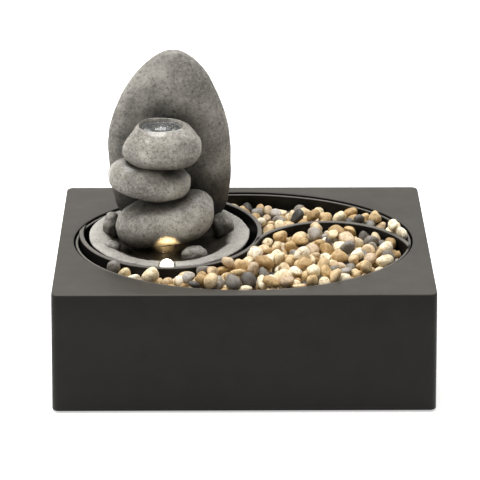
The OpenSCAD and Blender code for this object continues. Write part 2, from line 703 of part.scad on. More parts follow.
module socket_lead() color([0.5, 0.05, 0.05]) {
  q = [[socket_x + 2.6, panel_face_y, panel_z], [socket_x + 2.6, panel_face_y - socket_len + 2, panel_z],
    [socket_x + 2.6, panel_face_y - socket_len - 3, panel_z],
    [socket_x + 8, panel_face_y - socket_len - 12, panel_z - 5],
    [socket_x + 22, panel_face_y - socket_len - 16, panel_z - 9],
    [switch_x + 1, panel_face_y - switch_len - 10, panel_z - 5],
    [switch_x + 5, panel_face_y - switch_len - 3, panel_z], [switch_x + 5, panel_face_y - switch_len + 2, panel_z],
    [switch_x + 5, panel_face_y, panel_z]];
  lead(spline(q, 3), 1.2);
}

module lead_grommet() color([0.1, 0.1, 0.1]) {
  translate([ring_x, ring_y, grommet_z]) rotate([0, 0, grommet_a]) difference() {
    union() {
      translate([well_r - 4, 0, 0]) rotate([0, 90, 0]) cylinder(r = grommet_r - 1.05, h = 8, $fn = 48);
      translate([well_r + well_wall + 0.1, 0, 0]) rotate([0, 90, 0]) cylinder(r = grommet_r, h = 2, $fn = 48);
    }
    translate([well_r - 8, 0, 2.2]) rotate([0, 90, 0]) cylinder(r = pump_lead_r + 0.05, h = 20, $fn = 32);
    translate([well_r - 8, 0, -2.2]) rotate([0, 90, 0]) cylinder(r = lamp_lead_r + 0.05, h = 20, $fn = 32);
  }
}

module lamp_housing() color([0.15, 0.15, 0.15]) {
  translate([lamp_x, lamp_y, lamp_low_z]) difference() {
    cylinder(r = lamp_r, h = lamp_top_z - lamp_low_z, $fn = 48);
    translate([0, 0, 5]) cylinder(r = lamp_core_r, h = 30, $fn = 48);
    translate([0, 0, -1]) cylinder(r = lamp_lead_r + 0.05, h = 10, $fn = 32);
  }
}

module lamp_lens() color([1, 0.95, 0.8]) {
  translate([lamp_x, lamp_y, 0]) {
    translate([0, 0, lamp_low_z + 5]) cylinder(r = lamp_core_r - 0.05, h = lamp_top_z - lamp_low_z - 5, $fn = 48);
    translate([0, 0, lamp_top_z]) intersection() {
      sphere(lamp_core_r - 0.05, $fn = 48);
      translate([0, 0, 5 - 0.5]) cube([20, 20, 10], center = true);
    }
  }
}

module power_socket() color([0.1, 0.1, 0.1]) {
  translate([socket_x, panel_face_y, panel_z]) rotate([90, 0, 0]) difference() {
    union() {
      translate([0, 0, -1.5]) cylinder(r = socket_r + 2, h = 1.5, $fn = 48);
      cylinder(r = socket_r, h = socket_len, $fn = 48);
    }
    translate([0, 0, -5]) cylinder(r = 2.75, h = 15, $fn = 32);
    for (x = [-1, 1]) translate([2.6 * x, 0, socket_len - 3]) cylinder(r = 1.25, h = 5, $fn = 32);
  }
  translate([socket_x, panel_face_y + 0.5, panel_z]) rotate([90, 0, 0]) cylinder(r = 1, h = 11.5, $fn = 32);
}

module socket_nut() color([0.7, 0.7, 0.7]) {
  translate([socket_x, panel_inner_y, panel_z]) rotate([90, 0, 0]) difference() {
    cylinder(r = 8.5, h = 2.5, $fn = 6);
    translate([0, 0, -1]) cylinder(r = socket_r + 0.05, h = 10, $fn = 48);
  }
}

module switch_body() color([0.1, 0.1, 0.1]) {
  translate([switch_x, panel_face_y, panel_z]) difference() {
    union() {
      translate([-switch_w / 2, 0, -switch_h / 2]) cube([switch_w, 1.8, switch_h]);
      translate([-switch_w / 2 + 1, -switch_len, -switch_h / 2 + 1]) cube([switch_w - 2, switch_len + 1, switch_h - 2]);
    }
    translate([-switch_w / 2 + 3, -7, -switch_h / 2 + 2]) cube([switch_w - 6, 20, switch_h - 4]);
    translate([-switch_w / 2 + 1.8, -1.5, 0]) rotate([0, 90, 0])
      cylinder(r = 1.2 + run_clear, h = switch_w - 3.6, $fn = 32);
    for (x = [-1, 1]) translate([5 * x, -switch_len + 3, 0]) rotate([90, 0, 0])
      cylinder(r = pump_lead_r + 0.05, h = 10, $fn = 32);
  }
}

module switch_rocker() color([0.3, 0.05, 0.05]) {
  h = switch_h / 2 - 2.7;
  translate([switch_x, panel_face_y - 1.5, panel_z]) rotate([rocker_swing / 2, 0, 0]) {
    difference() {
      translate([-switch_w / 2 + 3.3, -3, -h]) cube([switch_w - 6.6, 7, 2 * h]);
      translate([-50, 14.9, 0]) rotate([0, 90, 0]) cylinder(r = 12, h = 100, $fn = 64);
    }
    translate([-switch_w / 2 + 2, 0, 0]) rotate([0, 90, 0]) cylinder(r = 1.2, h = switch_w - 4, $fn = 32);
  }
}

module stone_dish() color([0.55, 0.54, 0.51]) {
  difference() {
    union() {
      intersection() {
        translate([dish_x, dish_y, dish_low_z]) rotate_extrude($fn = 128) polygon([
          [0, 0],
          [dish_floor_r, 0],
          [dish_r, dish_depth],
          [dish_r - 1, dish_depth],
          [mouth_r, dish_depth - rim_fall],
          [hollow_r, dish_wall],
          [0, dish_wall]
        ]);
        translate([0, 0, dish_low_z - 1]) linear_extrude(dish_depth + 2) oval(tray_in - dish_gap);
      }
      translate([tube_x, tube_y, dish_low_z]) cylinder(r = pad_r, h = seat1_z - dish_low_z, $fn = 64);
    }
    translate([tube_x, tube_y, dish_low_z - 1]) cylinder(r = tube_bore_r, h = 30, $fn = 48);
    for (i = [0:4]) translate([dish_x, dish_y, dish_low_z - 1]) rotate([0, 0, -150 + 28 * i])
      translate([hollow_r - 4, 0, 0]) cylinder(r = 2.2, h = 10, $fn = 32);
    difference() {
      upright_blank(pocket_gap);
      below(dish_top_z);
    }
    difference() {
      dish_stone_blanks(pocket_gap);
      below(dish_stone_z);
    }
    translate([lamp_x - lamp_r - 1, dish_y - dish_r - 5, dish_low_z - 1])
      cube([2 * lamp_r + 2, lamp_y + lamp_r + 1 - dish_y + dish_r + 5, 40]);
  }
}

module stone(c, s) {
  translate(c) scale(s) sphere(1, $fn = 64);
}
module below(z) {
  translate([-500, -500, z - 500]) cube([1000, 1000, 500]);
}

// The upright stone's full shape, grown by g.
module upright_blank(g) {
  stone([back_x, back_y, back_mid_z], [back_wide + g, back_deep + g, back_c + g]);
}

module upright_stone() color([0.6, 0.58, 0.55]) {
  difference() {
    upright_blank(0);
    below(dish_top_z);
  }
}

module lower_stone() color([0.6, 0.58, 0.55]) {
  difference() {
    translate([lower_x, stack_y, lower_z]) rotate([0, -lower_tilt, 0]) scale([lower_wide, lower_deep, lower_c])
      sphere(1, $fn = 64);
    below(seat1_z);
    translate([middle_x, stack_y, seat2_z]) cylinder(r = 26, h = 50, $fn = 64);
    translate([tube_x, tube_y, 0]) cylinder(r = tube_bore_r, h = 300, $fn = 48);
  }
}

module middle_stone() color([0.6, 0.58, 0.55]) {
  difference() {
    stone([middle_x, stack_y, middle_z], [middle_wide, middle_deep, middle_c]);
    below(seat2_z);
    translate([middle_x - 100, stack_y - 100, seat3_z]) cube([200, 200, 50]);
    translate([tube_x, tube_y, 0]) cylinder(r = tube_bore_r, h = 300, $fn = 48);
  }
}

module top_stone() color([0.6, 0.58, 0.55]) {
  difference() {
    stone([top_x, stack_y, top_z], [top_wide, top_deep, top_c]);
    below(seat3_z);
    translate([top_x, stack_y, bowl_low_z + bowl_ball_r]) sphere(bowl_ball_r, $fn = 96);
    translate([tube_x, tube_y, 0]) cylinder(r = tube_bore_r, h = 300, $fn = 48);
  }
}

// The four small stones' full shapes, grown by g.
module dish_stone_blanks(g) {
  z = dish_stone_z;
  k = stone_k;
  stone([dish_x - 44 * k, dish_y + 11 * k, z + 7], [6.5 * k + g, 8.5 * k + g, 12 + g]);
  stone([dish_x + 41 * k, dish_y + 14 * k, z + 6], [8 * k + g, 9 * k + g, 10.5 + g]);
  stone([dish_x + 19 * k, dish_y - 34 * k, z + 3.5], [10 * k + g, 7 * k + g, 7 + g]);
  stone([dish_x - 43 * k, dish_y - 19 * k, z + 2.5], [7 * k + g, 6 * k + g, 5.5 + g]);
}

module dish_stones() color([0.5, 0.49, 0.46]) {
  difference() {
    dish_stone_blanks(0);
    below(dish_stone_z);
  }
}

module riser_tube() color([0.8, 0.85, 0.85]) {
  translate([tube_x, tube_y, 0]) difference() {
    union() {
      translate([0, 0, sleeve_low_z]) cylinder(r = sleeve_r + 1.4, h = sleeve_top_z + 2 - sleeve_low_z, $fn = 48);
      translate([0, 0, sleeve_top_z]) cylinder(r = tube_r, h = bowl_low_z - sleeve_top_z - 0.5, $fn = 48);
    }
    translate([0, 0, sleeve_low_z - 1]) cylinder(r = sleeve_r, h = nozzle_top_z + 0.3 - sleeve_low_z + 1, $fn = 48);
    translate([0, 0, sleeve_low_z - 1]) cylinder(r = tube_r - tube_wall, h = 300, $fn = 48);
  }
}

// Pebbles: each [x, y, radius, thickness, base height, shade number].
function oval_room(p) = (open_b + tray_in)
  * (1 - norm([p[0] / (open_a + tray_in), (p[1] - open_y) / (open_b + tray_in)]));
function rib_room(p) = let(v = p - [rib_x, rib_y], a = atan2(v[1], v[0]))
  (a < -28 || a > 180 - rib_fall + 6) ? 1000 : abs(norm(v) - rib_r) - ring_wall / 2;
function ring_room(p) = norm(p - [ring_x, ring_y]) - ring_r;
function room(p) = min(oval_room(p), rib_room(p), ring_room(p));
heap_x = rib_x - 12;
heap_y = rib_y - 10;
heap_r = 38;
nx = floor(open_a / pebble_pitch);
ny = floor(open_b / (pebble_pitch * 0.8660254));
// Bottom layer: one thickness, so that its tops are level. Upper layers stand on it, each set over by lean.
lean = [2.6, 1.4];
flat_t = pebble_t_min + pebble_t_more / 2;
grid1 = [for (i = [-nx:nx], j = [-ny:ny])
  let(p = [(i + (abs(j) % 2) * 0.5) * pebble_pitch + 3, open_y + j * pebble_pitch * 0.8660254],
      k = (i + 40) * 100 + j + 40,
      r = pebble_r_min + pebble_r_more * rnd(k))
  if (room(p) > r + 0.5) [p[0], p[1], r, flat_t, tray_top_z, floor(20 * rnd(k + 9000))]];
function upper(b, k, share) = let(p = [b[0], b[1]] + (k > 1 ? -1 : 1) * lean, n = k * 40000 + floor(97 * b[0] + 13 * b[1] + 9000))
  [p[0], p[1], pebble_r_min + pebble_r_more * rnd(n), pebble_t_min + pebble_t_more * rnd(n + 1), b[4] + b[3],
   floor(20 * rnd(n + 2)), rnd(n + 3) < share];
function tops_near(set, c) = [for (b = set) if (norm([b[0] - c[0], b[1] - c[1]]) < b[2] + c[2] - 0.4) b[4] + b[3]];
grid2 = [for (b = grid1) let(c = upper(b, 1, 0.85))
  if (c[6] && room([c[0], c[1]]) > c[2] + 0.4 && c[0] > ring_x + 20) c];
grid3 = [for (b = grid2) let(c = upper(b, 2, 0.7))
  if (c[6] && norm([c[0] - heap_x, c[1] - heap_y]) < heap_r && max(tops_near(grid2, c)) <= c[4] + 0.01) c];
pebbles = concat(grid1, grid2, grid3);

module pebble(b) {
  t = b[3];
  translate([b[0], b[1], b[4] + t / 2]) rotate_extrude($fn = 32) {
    translate([b[2] - t / 2, 0]) intersection() {
      circle(t / 2, $fn = 32);
      translate([0, -t]) square([t, 2 * t]);
    }
    translate([0, -t / 2]) square([b[2] - t / 2, t]);
  }
}
module pebble_set(low, high) {
  for (b = pebbles) if (b[5] >= low && b[5] < high) pebble(b);
}
module pebbles_tan() color([0.75, 0.62, 0.42]) pebble_set(0, 8);
module pebbles_cream() color([0.88, 0.8, 0.65]) pebble_set(8, 14);
module pebbles_grey() color([0.55, 0.54, 0.53]) pebble_set(14, 18);
module pebbles_dark() color([0.25, 0.24, 0.23]) pebble_set(18, 21);

casing();
bottom_cover();
cover_screws();
feet();
tray_screws();
basin_tray();
reservoir_well();
pump_body();
pump_back_cover();
stator_core();
stator_coil();
volute_cover();
flow_dial();
dial_retainer();
impeller();
rotor_magnet();
pump_shaft();
shaft_bushings();
suction_cups();
pump_lead();
lamp_lead();
socket_lead();
lead_grommet();
lamp_housing();
lamp_lens();
power_socket();
socket_nut();
switch_body();
switch_rocker();
stone_dish();
upright_stone();
lower_stone();
middle_stone();
top_stone();
dish_stones();
riser_tube();
pebbles_tan();
pebbles_cream();
pebbles_grey();
pebbles_dark();
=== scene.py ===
import math

import bmesh
import bpy
import numpy as np
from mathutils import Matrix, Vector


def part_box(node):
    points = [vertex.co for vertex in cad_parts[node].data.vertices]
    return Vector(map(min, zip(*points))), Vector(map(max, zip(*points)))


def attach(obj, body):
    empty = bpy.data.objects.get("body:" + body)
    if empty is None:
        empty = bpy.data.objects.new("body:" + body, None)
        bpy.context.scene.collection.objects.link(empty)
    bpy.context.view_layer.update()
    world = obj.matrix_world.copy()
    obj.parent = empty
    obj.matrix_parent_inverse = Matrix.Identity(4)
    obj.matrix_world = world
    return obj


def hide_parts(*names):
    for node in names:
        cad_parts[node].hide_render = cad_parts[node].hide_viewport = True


# %% [markdown]
# # Tabletop water fountain
# A low dark box holds an oval tray of pebbles. A ring in the tray carries a stone dish, and on the dish stand an
# upright stone and three stacked stones, with water welling up in the top one. All lengths are worked in
# millimetres and turned into metres where a mesh is made. The solids loaded here set every place: the casing,
# the tray, the dish, the stones and the pebbles get finer stand-ins, and the rest keeps its own shape.

# %% The frame, and its size before anything is added
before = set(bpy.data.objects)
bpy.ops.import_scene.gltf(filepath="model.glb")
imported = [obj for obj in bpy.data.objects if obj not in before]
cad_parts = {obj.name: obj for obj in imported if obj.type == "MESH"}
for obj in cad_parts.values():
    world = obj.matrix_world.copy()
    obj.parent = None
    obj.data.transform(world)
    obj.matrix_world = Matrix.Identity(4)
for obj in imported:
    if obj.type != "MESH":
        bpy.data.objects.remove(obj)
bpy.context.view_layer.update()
MM = 0.001
rng = np.random.default_rng(11)


def place(node):
    """Middle and half size of a solid, in millimetres."""
    low, high = (np.array(v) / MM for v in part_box(node))
    return (low + high) / 2, (high - low) / 2


# %% [markdown]
# ## Camera and light
# The camera came from fitting the box's corners: 24 degrees down from 1.84 m with a long lens, so the box's
# sides hardly converge. A wide pale floor fills the frame. The plate is a satin plastic seen at a low angle, so
# what it mirrors matters more than what falls on it: the sky is bright behind the object and dim in front, which
# greys the plate over a nearly black front wall, and the plate's up-facing colour is painted paler as a painted
# sheen. A large soft panel above gives the stones their shape, and two weaker ones behind and at the left lift
# their edges.

# %% Camera
camera = bpy.data.objects.new("camera", bpy.data.cameras.new("camera"))
bpy.context.collection.objects.link(camera)
CAMERA_AT = np.array([-12.827, -1643.737, 827.284])
LOOKS_DOWN, LOOKS_RIGHT = 24.054, 0.36
LENS, SENSOR = 177.3, 36
camera.location = CAMERA_AT * MM
camera.rotation_euler = (math.radians(90 - LOOKS_DOWN), 0, -math.radians(LOOKS_RIGHT))
camera.data.lens, camera.data.sensor_width = LENS, SENSOR
camera.data.clip_start, camera.data.clip_end = 0.05, 50
bpy.context.scene.camera = camera
bpy.context.scene.view_settings.view_transform = "Standard"

# %% Sky: dim in front of the object, bright behind it
world = bpy.data.worlds.new("sky")
bpy.context.scene.world = world
world.use_nodes = True
sky = world.node_tree
sky.nodes.clear()
direction = sky.nodes.new("ShaderNodeTexCoord")
parts = sky.nodes.new("ShaderNodeSeparateXYZ")
shade = sky.nodes.new("ShaderNodeMapRange")
SKY_FRONT, SKY_BACK = 0.1, 1.0
shade.inputs["From Min"].default_value, shade.inputs["From Max"].default_value = -0.9, 0.9
shade.inputs["To Min"].default_value, shade.inputs["To Max"].default_value = SKY_FRONT, SKY_BACK
background = sky.nodes.new("ShaderNodeBackground")
background.inputs["Color"].default_value = (1.0, 0.98, 0.945, 1)
world_out = sky.nodes.new("ShaderNodeOutputWorld")
sky.links.new(direction.outputs["Generated"], parts.inputs[0])
sky.links.new(parts.outputs["Y"], shade.inputs["Value"])
sky.links.new(shade.outputs["Result"], background.inputs["Strength"])
sky.links.new(background.outputs[0], world_out.inputs[0])


def panel(name, at, look, size, power, colour=(1, 1, 1)):
    """A soft rectangular light at a place, facing another, in metres and watts."""
    data = bpy.data.lights.new(name, "AREA")
    data.shape, data.size, data.size_y = "RECTANGLE", size[0], size[1]
    data.energy, data.color = power, colour
    lamp = bpy.data.objects.new(name, data)
    bpy.context.collection.objects.link(lamp)
    lamp.location = at
    way = np.array(look) - np.array(at)
    flat = math.hypot(way[0], way[1])
    lamp.rotation_euler = (math.atan2(flat, -way[2]), 0, math.atan2(way[1], way[0]) - math.pi / 2)


panel("top_panel", (-0.3, 0.1, 1.5), (0, 0, 0.05), (1.1, 0.9), 24)
panel("back_panel", (0.1, 0.95, 1.35), (0, 0, 0.1), (1.5, 0.6), 9)
panel("left_panel", (-1.2, -0.75, 1.1), (0, 0, 0.1), (0.5, 0.5), 6, (1.0, 0.97, 0.93))


# %% [markdown]
# ## Surfaces
# Every surface is grown from noise in the piece's own coordinates, so it doesn't slide when a piece moves. Plastic
# gets a fine grain, faint cloudy tone and worn, slightly lighter edges; the casing and the tray also carry a painted
# sheen on their up-facing faces. Stone gets two sizes of speckle over cloudy bands, because water-worn basalt shows
# pale and dark crystals at about 1 mm and bands at 10 mm or more. Stone also carries painted shade in its gaps,
# hollows and feet, and a painted highlight along the top stone's brim.

# %% Node helpers
class Paint:
    """A material being built: short calls for the few nodes every finish here uses."""

    def __init__(self, name, rough, metal=0.0):
        self.material = bpy.data.materials.new(name)
        self.material.use_nodes = True
        self.tree = self.material.node_tree
        self.shader = self.tree.nodes["Principled BSDF"]
        self.shader.inputs["Roughness"].default_value = rough
        self.shader.inputs["Metallic"].default_value = metal
        self.where = self.new("ShaderNodeTexCoord").outputs["Object"]
        self.height = None

    def new(self, kind):
        return self.tree.nodes.new(kind)

    def join(self, a, b):
        self.tree.links.new(a, b)

    def noise(self, scale, detail=4.0, rough=0.55, stretch=None):
        """Cloud noise, scale in cells per metre, from 0 to 1."""
        n = self.new("ShaderNodeTexNoise")
        n.inputs["Scale"].default_value = scale
        n.inputs["Detail"].default_value = detail
        n.inputs["Roughness"].default_value = rough
        start = self.where
        if stretch:
            m = self.new("ShaderNodeMapping")
            m.inputs["Scale"].default_value = stretch
            self.join(self.where, m.inputs["Vector"])
            start = m.outputs[0]
        self.join(start, n.inputs["Vector"])
        return n.outputs["Fac"]

    def cells(self, scale):
        """Distance to the nearest of many scattered points, scale in points per metre."""
        v = self.new("ShaderNodeTexVoronoi")
        v.inputs["Scale"].default_value = scale
        self.join(self.where, v.inputs["Vector"])
        return v.outputs["Distance"]

    def attribute(self, name):
        a = self.new("ShaderNodeAttribute")
        a.attribute_name = name
        return a.outputs["Fac"]

    def ramp(self, value, *stops):
        """Colours along a value: stops are (place, colour)."""
        r = self.new("ShaderNodeValToRGB")
        while len(r.color_ramp.elements) < len(stops):
            r.color_ramp.elements.new(0.5)
        for element, (at, colour) in zip(r.color_ramp.elements, stops):
            element.position, element.color = at, (*colour, 1)
        self.join(value, r.inputs["Fac"])
        return r.outputs["Color"]

    def span(self, value, low, high, to_low, to_high):
        m = self.new("ShaderNodeMapRange")
        for key, number in (("From Min", low), ("From Max", high), ("To Min", to_low), ("To Max", to_high)):
            m.inputs[key].default_value = number
        self.join(value, m.inputs["Value"])
        return m.outputs["Result"]

    def mix(self, share, a, b, how="MIX"):
        m = self.new("ShaderNodeMix")
        m.data_type, m.blend_type = "RGBA", how
        for socket, given in ((m.inputs[0], share), (m.inputs[6], a), (m.inputs[7], b)):
            if isinstance(given, (int, float)):
                socket.default_value = given
            elif isinstance(given, tuple):
                socket.default_value = (*given, 1)
            else:
                self.join(given, socket)
        return m.outputs[2]

    def maths(self, how, a, b):
        m = self.new("ShaderNodeMath")
        m.operation = how
        for socket, given in zip(m.inputs, (a, b)):
            if isinstance(given, (int, float)):
                socket.default_value = given
            else:
                self.join(given, socket)
        return m.outputs[0]

    def edges(self, radius=0.0012):
        """1 on sharp outer edges, 0 on flats: how far the rounded normal leans from the true one."""
        bevel = self.new("ShaderNodeBevel")
        bevel.inputs["Radius"].default_value = radius
        bevel.samples = 4
        geometry = self.new("ShaderNodeNewGeometry")
        dot = self.new("ShaderNodeVectorMath")
        dot.operation = "DOT_PRODUCT"
        self.join(bevel.outputs[0], dot.inputs[0])
        self.join(geometry.outputs["Normal"], dot.inputs[1])
        return self.span(dot.outputs["Value"], 0.995, 0.85, 0.0, 1.0)

    def sheltered(self, reach):
        """1 in gaps and under overhangs, 0 in the open: how much is hidden within a reach in metres."""
        hidden = self.new("ShaderNodeAmbientOcclusion")
        hidden.samples = 6
        hidden.inputs["Distance"].default_value = reach
        return self.span(hidden.outputs["AO"], 0.95, 0.4, 0.0, 1.0)

    def bump(self, value, depth, strength=1.0):
        """Adds relief of a depth in metres."""
        b = self.new("ShaderNodeBump")
        b.inputs["Distance"].default_value = depth
        b.inputs["Strength"].default_value = strength
        self.join(value, b.inputs["Height"])
        if self.height is not None:
            self.join(self.height, b.inputs["Normal"])
        self.height = b.outputs["Normal"]
        self.join(self.height, self.shader.inputs["Normal"])

    def colour(self, value):
        self.join(value, self.shader.inputs["Base Color"])

    def rough(self, value):
        self.join(value, self.shader.inputs["Roughness"])


def tint(colour, by):
    return tuple(min(1.0, c * by) for c in colour)


# %% The finishes
def plastic(name, colour, rough, grain=1400, worn=1.5, painted_top_sheen=None):
    """Moulded plastic: faint clouds of tone, fine spark grain, paler worn edges and patchy gloss. With a top colour
    given, faces that look up are painted in that paler colour as a painted sheen, and the surface mirrors less."""
    p = Paint(name, rough)
    clouds = p.ramp(p.noise(22, 5), (0.3, tint(colour, 0.82)), (0.7, tint(colour, 1.16)))
    if painted_top_sheen:
        # Painted sheen: faces that look up are mixed towards the paler top colour, standing in for the bright sky
        # they mirror.
        up = p.new("ShaderNodeSeparateXYZ")
        p.join(p.new("ShaderNodeNewGeometry").outputs["Normal"], up.inputs[0])
        film = p.ramp(p.noise(14, 6), (0.3, tint(painted_top_sheen, 0.86)), (0.7, tint(painted_top_sheen, 1.12)))
        clouds = p.mix(p.span(up.outputs["Z"], 0.1, 0.8, 0.0, 1.0), clouds, film)
        p.shader.inputs["Specular IOR Level"].default_value = 0.16
    p.colour(p.mix(p.edges(), clouds, tint(colour, worn)))
    p.rough(p.span(p.noise(60, 6), 0.3, 0.7, rough - 0.06, rough + 0.08))
    p.bump(p.noise(grain, 2), 0.00006, 0.8)
    return p.material


def metal(name, colour, rough, brushed=(1, 1, 12)):
    """Metal with drawn or rolled streaks, and darker dirt in the clouds."""
    p = Paint(name, rough, 1.0)
    streaks = p.noise(500, 3, 0.6, brushed)
    p.colour(p.mix(p.span(p.noise(90, 4), 0.45, 0.75, 0, 0.45), colour, tint(colour, 0.45)))
    p.rough(p.span(streaks, 0.3, 0.7, rough - 0.1, rough + 0.15))
    p.bump(streaks, 0.00003, 0.7)
    return p.material


def rubber(name, colour):
    """Rubber: dull, with a dusting that collects on raised grain."""
    p = Paint(name, 0.8)
    p.colour(p.ramp(p.noise(260, 6), (0.35, tint(colour, 0.75)), (0.75, tint(colour, 1.7))))
    p.rough(p.span(p.noise(150, 4), 0.3, 0.7, 0.68, 0.92))
    p.bump(p.noise(1100, 3), 0.00008)
    return p.material


def stone(name, pale, mid, dark, speck=450, relief=0.0005, gap_shade=0.95):
    """Water-worn stone: cloudy bands, speckle of pale and dark crystals in two sizes, small pits. Where the wet
    attribute is 1 it is darker and glossy, under a thin broken film. Where the painted-shade attribute is 1 it is
    darkened nearly to black as painted shade. Where the paling attribute rises it is paler, up to 1.8 times at 2:
    a lighter tone on some stones, and a painted highlight along the top stone's brim. Gaps and undersides are
    darkened as painted shade, found by ambient occlusion."""
    p = Paint(name, 0.75)
    clouds = p.ramp(p.noise(30, 7, 0.66), (0.34, tint(mid, 0.68)), (0.5, mid), (0.66, pale))
    fine = p.noise(speck * 2.2, 3, 0.75)
    coarse = p.noise(speck, 4, 0.7)
    speckled = p.mix(p.span(coarse, 0.53, 0.66, 0, 0.75), clouds, pale)
    speckled = p.mix(p.span(coarse, 0.46, 0.34, 0, 0.75), speckled, dark)
    speckled = p.mix(p.span(fine, 0.56, 0.7, 0, 0.6), speckled, tint(pale, 1.25))
    speckled = p.mix(p.span(fine, 0.43, 0.3, 0, 0.7), speckled, dark)
    rough = p.span(fine, 0.3, 0.7, 0.6, 0.88)
    p.bump(p.noise(speck * 0.25, 5, 0.65), relief, 0.8)
    p.bump(fine, relief * 0.25, 0.8)
    streaks = p.noise(70, 4, 0.6, (1, 1, 0.3))
    film = p.span(p.maths("MULTIPLY", p.attribute("wet"), streaks), 0.34, 0.46, 0, 1)
    speckled = p.mix(film, speckled, p.mix(1.0, speckled, (0.84, 0.83, 0.81), "MULTIPLY"))
    # Paler as the paling attribute rises: a lighter tone on some stones, and a painted highlight on the brim.
    speckled = p.mix(1.0, speckled, p.span(p.attribute("paler_with_brim_highlight"), 0, 2, 1.0, 1.8), "MULTIPLY")
    # Painted shade: where the painted-shade attribute is 1 the colour is multiplied nearly to black.
    speckled = p.mix(p.attribute("painted_shade"), speckled, p.mix(1.0, speckled, (0.16, 0.14, 0.115), "MULTIPLY"))
    # Painted shade: gaps and undersides, found by ambient occlusion, are darkened.
    sheltered = p.maths("MULTIPLY", p.sheltered(0.03), gap_shade)
    speckled = p.mix(sheltered, speckled, p.mix(1.0, speckled, (0.1, 0.09, 0.075), "MULTIPLY"))
    p.shader.inputs["Coat Roughness"].default_value = 0.12
    p.join(p.maths("MULTIPLY", film, 0.45), p.shader.inputs["Coat Weight"])
    p.colour(speckled)
    p.rough(p.maths("SUBTRACT", rough, p.maths("MULTIPLY", film, 0.3)))
    return p.material


def pebble_stone(name, *shades):
    """Tumbled pebbles: each takes its own tone from the shade attribute, with veins and a sanded skin."""
    p = Paint(name, 0.6)
    stops = [(i / (len(shades) - 1), c) for i, c in enumerate(shades)]
    skin_tone = p.ramp(p.attribute("shade"), *stops)
    brown_veins = p.span(p.noise(210, 5, 0.7), 0.42, 0.66, 0, 0.75)
    pale_flecks = p.span(p.noise(700, 3), 0.55, 0.66, 0, 0.45)
    dark_flecks = p.span(p.noise(520, 3), 0.44, 0.34, 0, 0.7)
    for share, times in ((brown_veins, (0.52, 0.42, 0.28)), (pale_flecks, (1.5, 1.45, 1.35)),
                         (dark_flecks, (0.4, 0.33, 0.25))):
        skin_tone = p.mix(share, skin_tone, p.mix(1.0, skin_tone, times, "MULTIPLY"))
    p.colour(skin_tone)
    p.rough(p.span(p.noise(500, 4), 0.3, 0.7, 0.42, 0.75))
    p.bump(p.noise(420, 5, 0.6), 0.0004, 0.6)
    p.shader.inputs["Subsurface Weight"].default_value = 0.06
    p.shader.inputs["Subsurface Radius"].default_value = (0.004, 0.0025, 0.0015)
    p.shader.inputs["Subsurface Scale"].default_value = 0.5
    return p.material


# The last colour given for the casing and the tray is a painted sheen on their up-facing faces: the plate's grey and
# the pale rim tops.
casing_black = plastic("casing_black", (0.008, 0.0075, 0.0068), 0.42, 1200, 5.0, (0.05, 0.0458, 0.0395))
tray_black = plastic("tray_black", (0.009, 0.0084, 0.0077), 0.4, 1600, 4.0, (0.13, 0.121, 0.108))
cover_black = plastic("cover_black", (0.03, 0.029, 0.028), 0.6)
pump_black = plastic("pump_black", (0.022, 0.022, 0.023), 0.45)
socket_black = plastic("socket_black", (0.02, 0.02, 0.021), 0.3)
sheath_black = plastic("sheath_black", (0.018, 0.018, 0.019), 0.55, 2200)
impeller_white = plastic("impeller_white", (0.72, 0.71, 0.66), 0.35)
tube_clear = plastic("tube_clear", (0.62, 0.66, 0.66), 0.28)
tube_clear.node_tree.nodes["Principled BSDF"].inputs["Transmission Weight"].default_value = 0.4
zinc = metal("zinc", (0.62, 0.62, 0.6), 0.35)
core_iron = metal("core_iron", (0.3, 0.29, 0.28), 0.5, (1, 60, 1))
copper = metal("copper", (0.72, 0.36, 0.2), 0.35, (1, 90, 1))
magnet_grey = metal("magnet_grey", (0.16, 0.16, 0.17), 0.55)
black_rubber = rubber("black_rubber", (0.028, 0.028, 0.028))
ceramic_white = plastic("ceramic_white", (0.8, 0.79, 0.74), 0.22, 3000)
river_rock = stone("river_rock", (0.36, 0.345, 0.31), (0.205, 0.194, 0.174), (0.048, 0.044, 0.038), 430)
dish_rock = stone("dish_rock", (0.46, 0.445, 0.41), (0.34, 0.325, 0.295), (0.16, 0.15, 0.134), 700, 0.0003, 0.2)
pebble_looks = {
    "pebbles_tan": pebble_stone("pebble_tan", (0.42, 0.28, 0.12), (0.62, 0.44, 0.21), (0.74, 0.58, 0.35),
                                (0.6, 0.47, 0.33)),
    "pebbles_cream": pebble_stone("pebble_cream", (0.74, 0.6, 0.38), (0.9, 0.79, 0.56), (0.95, 0.89, 0.74)),
    "pebbles_grey": pebble_stone("pebble_grey", (0.17, 0.16, 0.145), (0.33, 0.31, 0.28), (0.5, 0.47, 0.43)),
    "pebbles_dark": pebble_stone("pebble_dark", (0.03, 0.028, 0.026), (0.09, 0.085, 0.08), (0.15, 0.135, 0.12)),
}
print("finishes", len(bpy.data.materials))


# %% [markdown]
# ## Building meshes
# A finished surface is a grid of points: rows along one direction, columns along the other. Numpy works out all
# points at once and Blender takes them in one call.

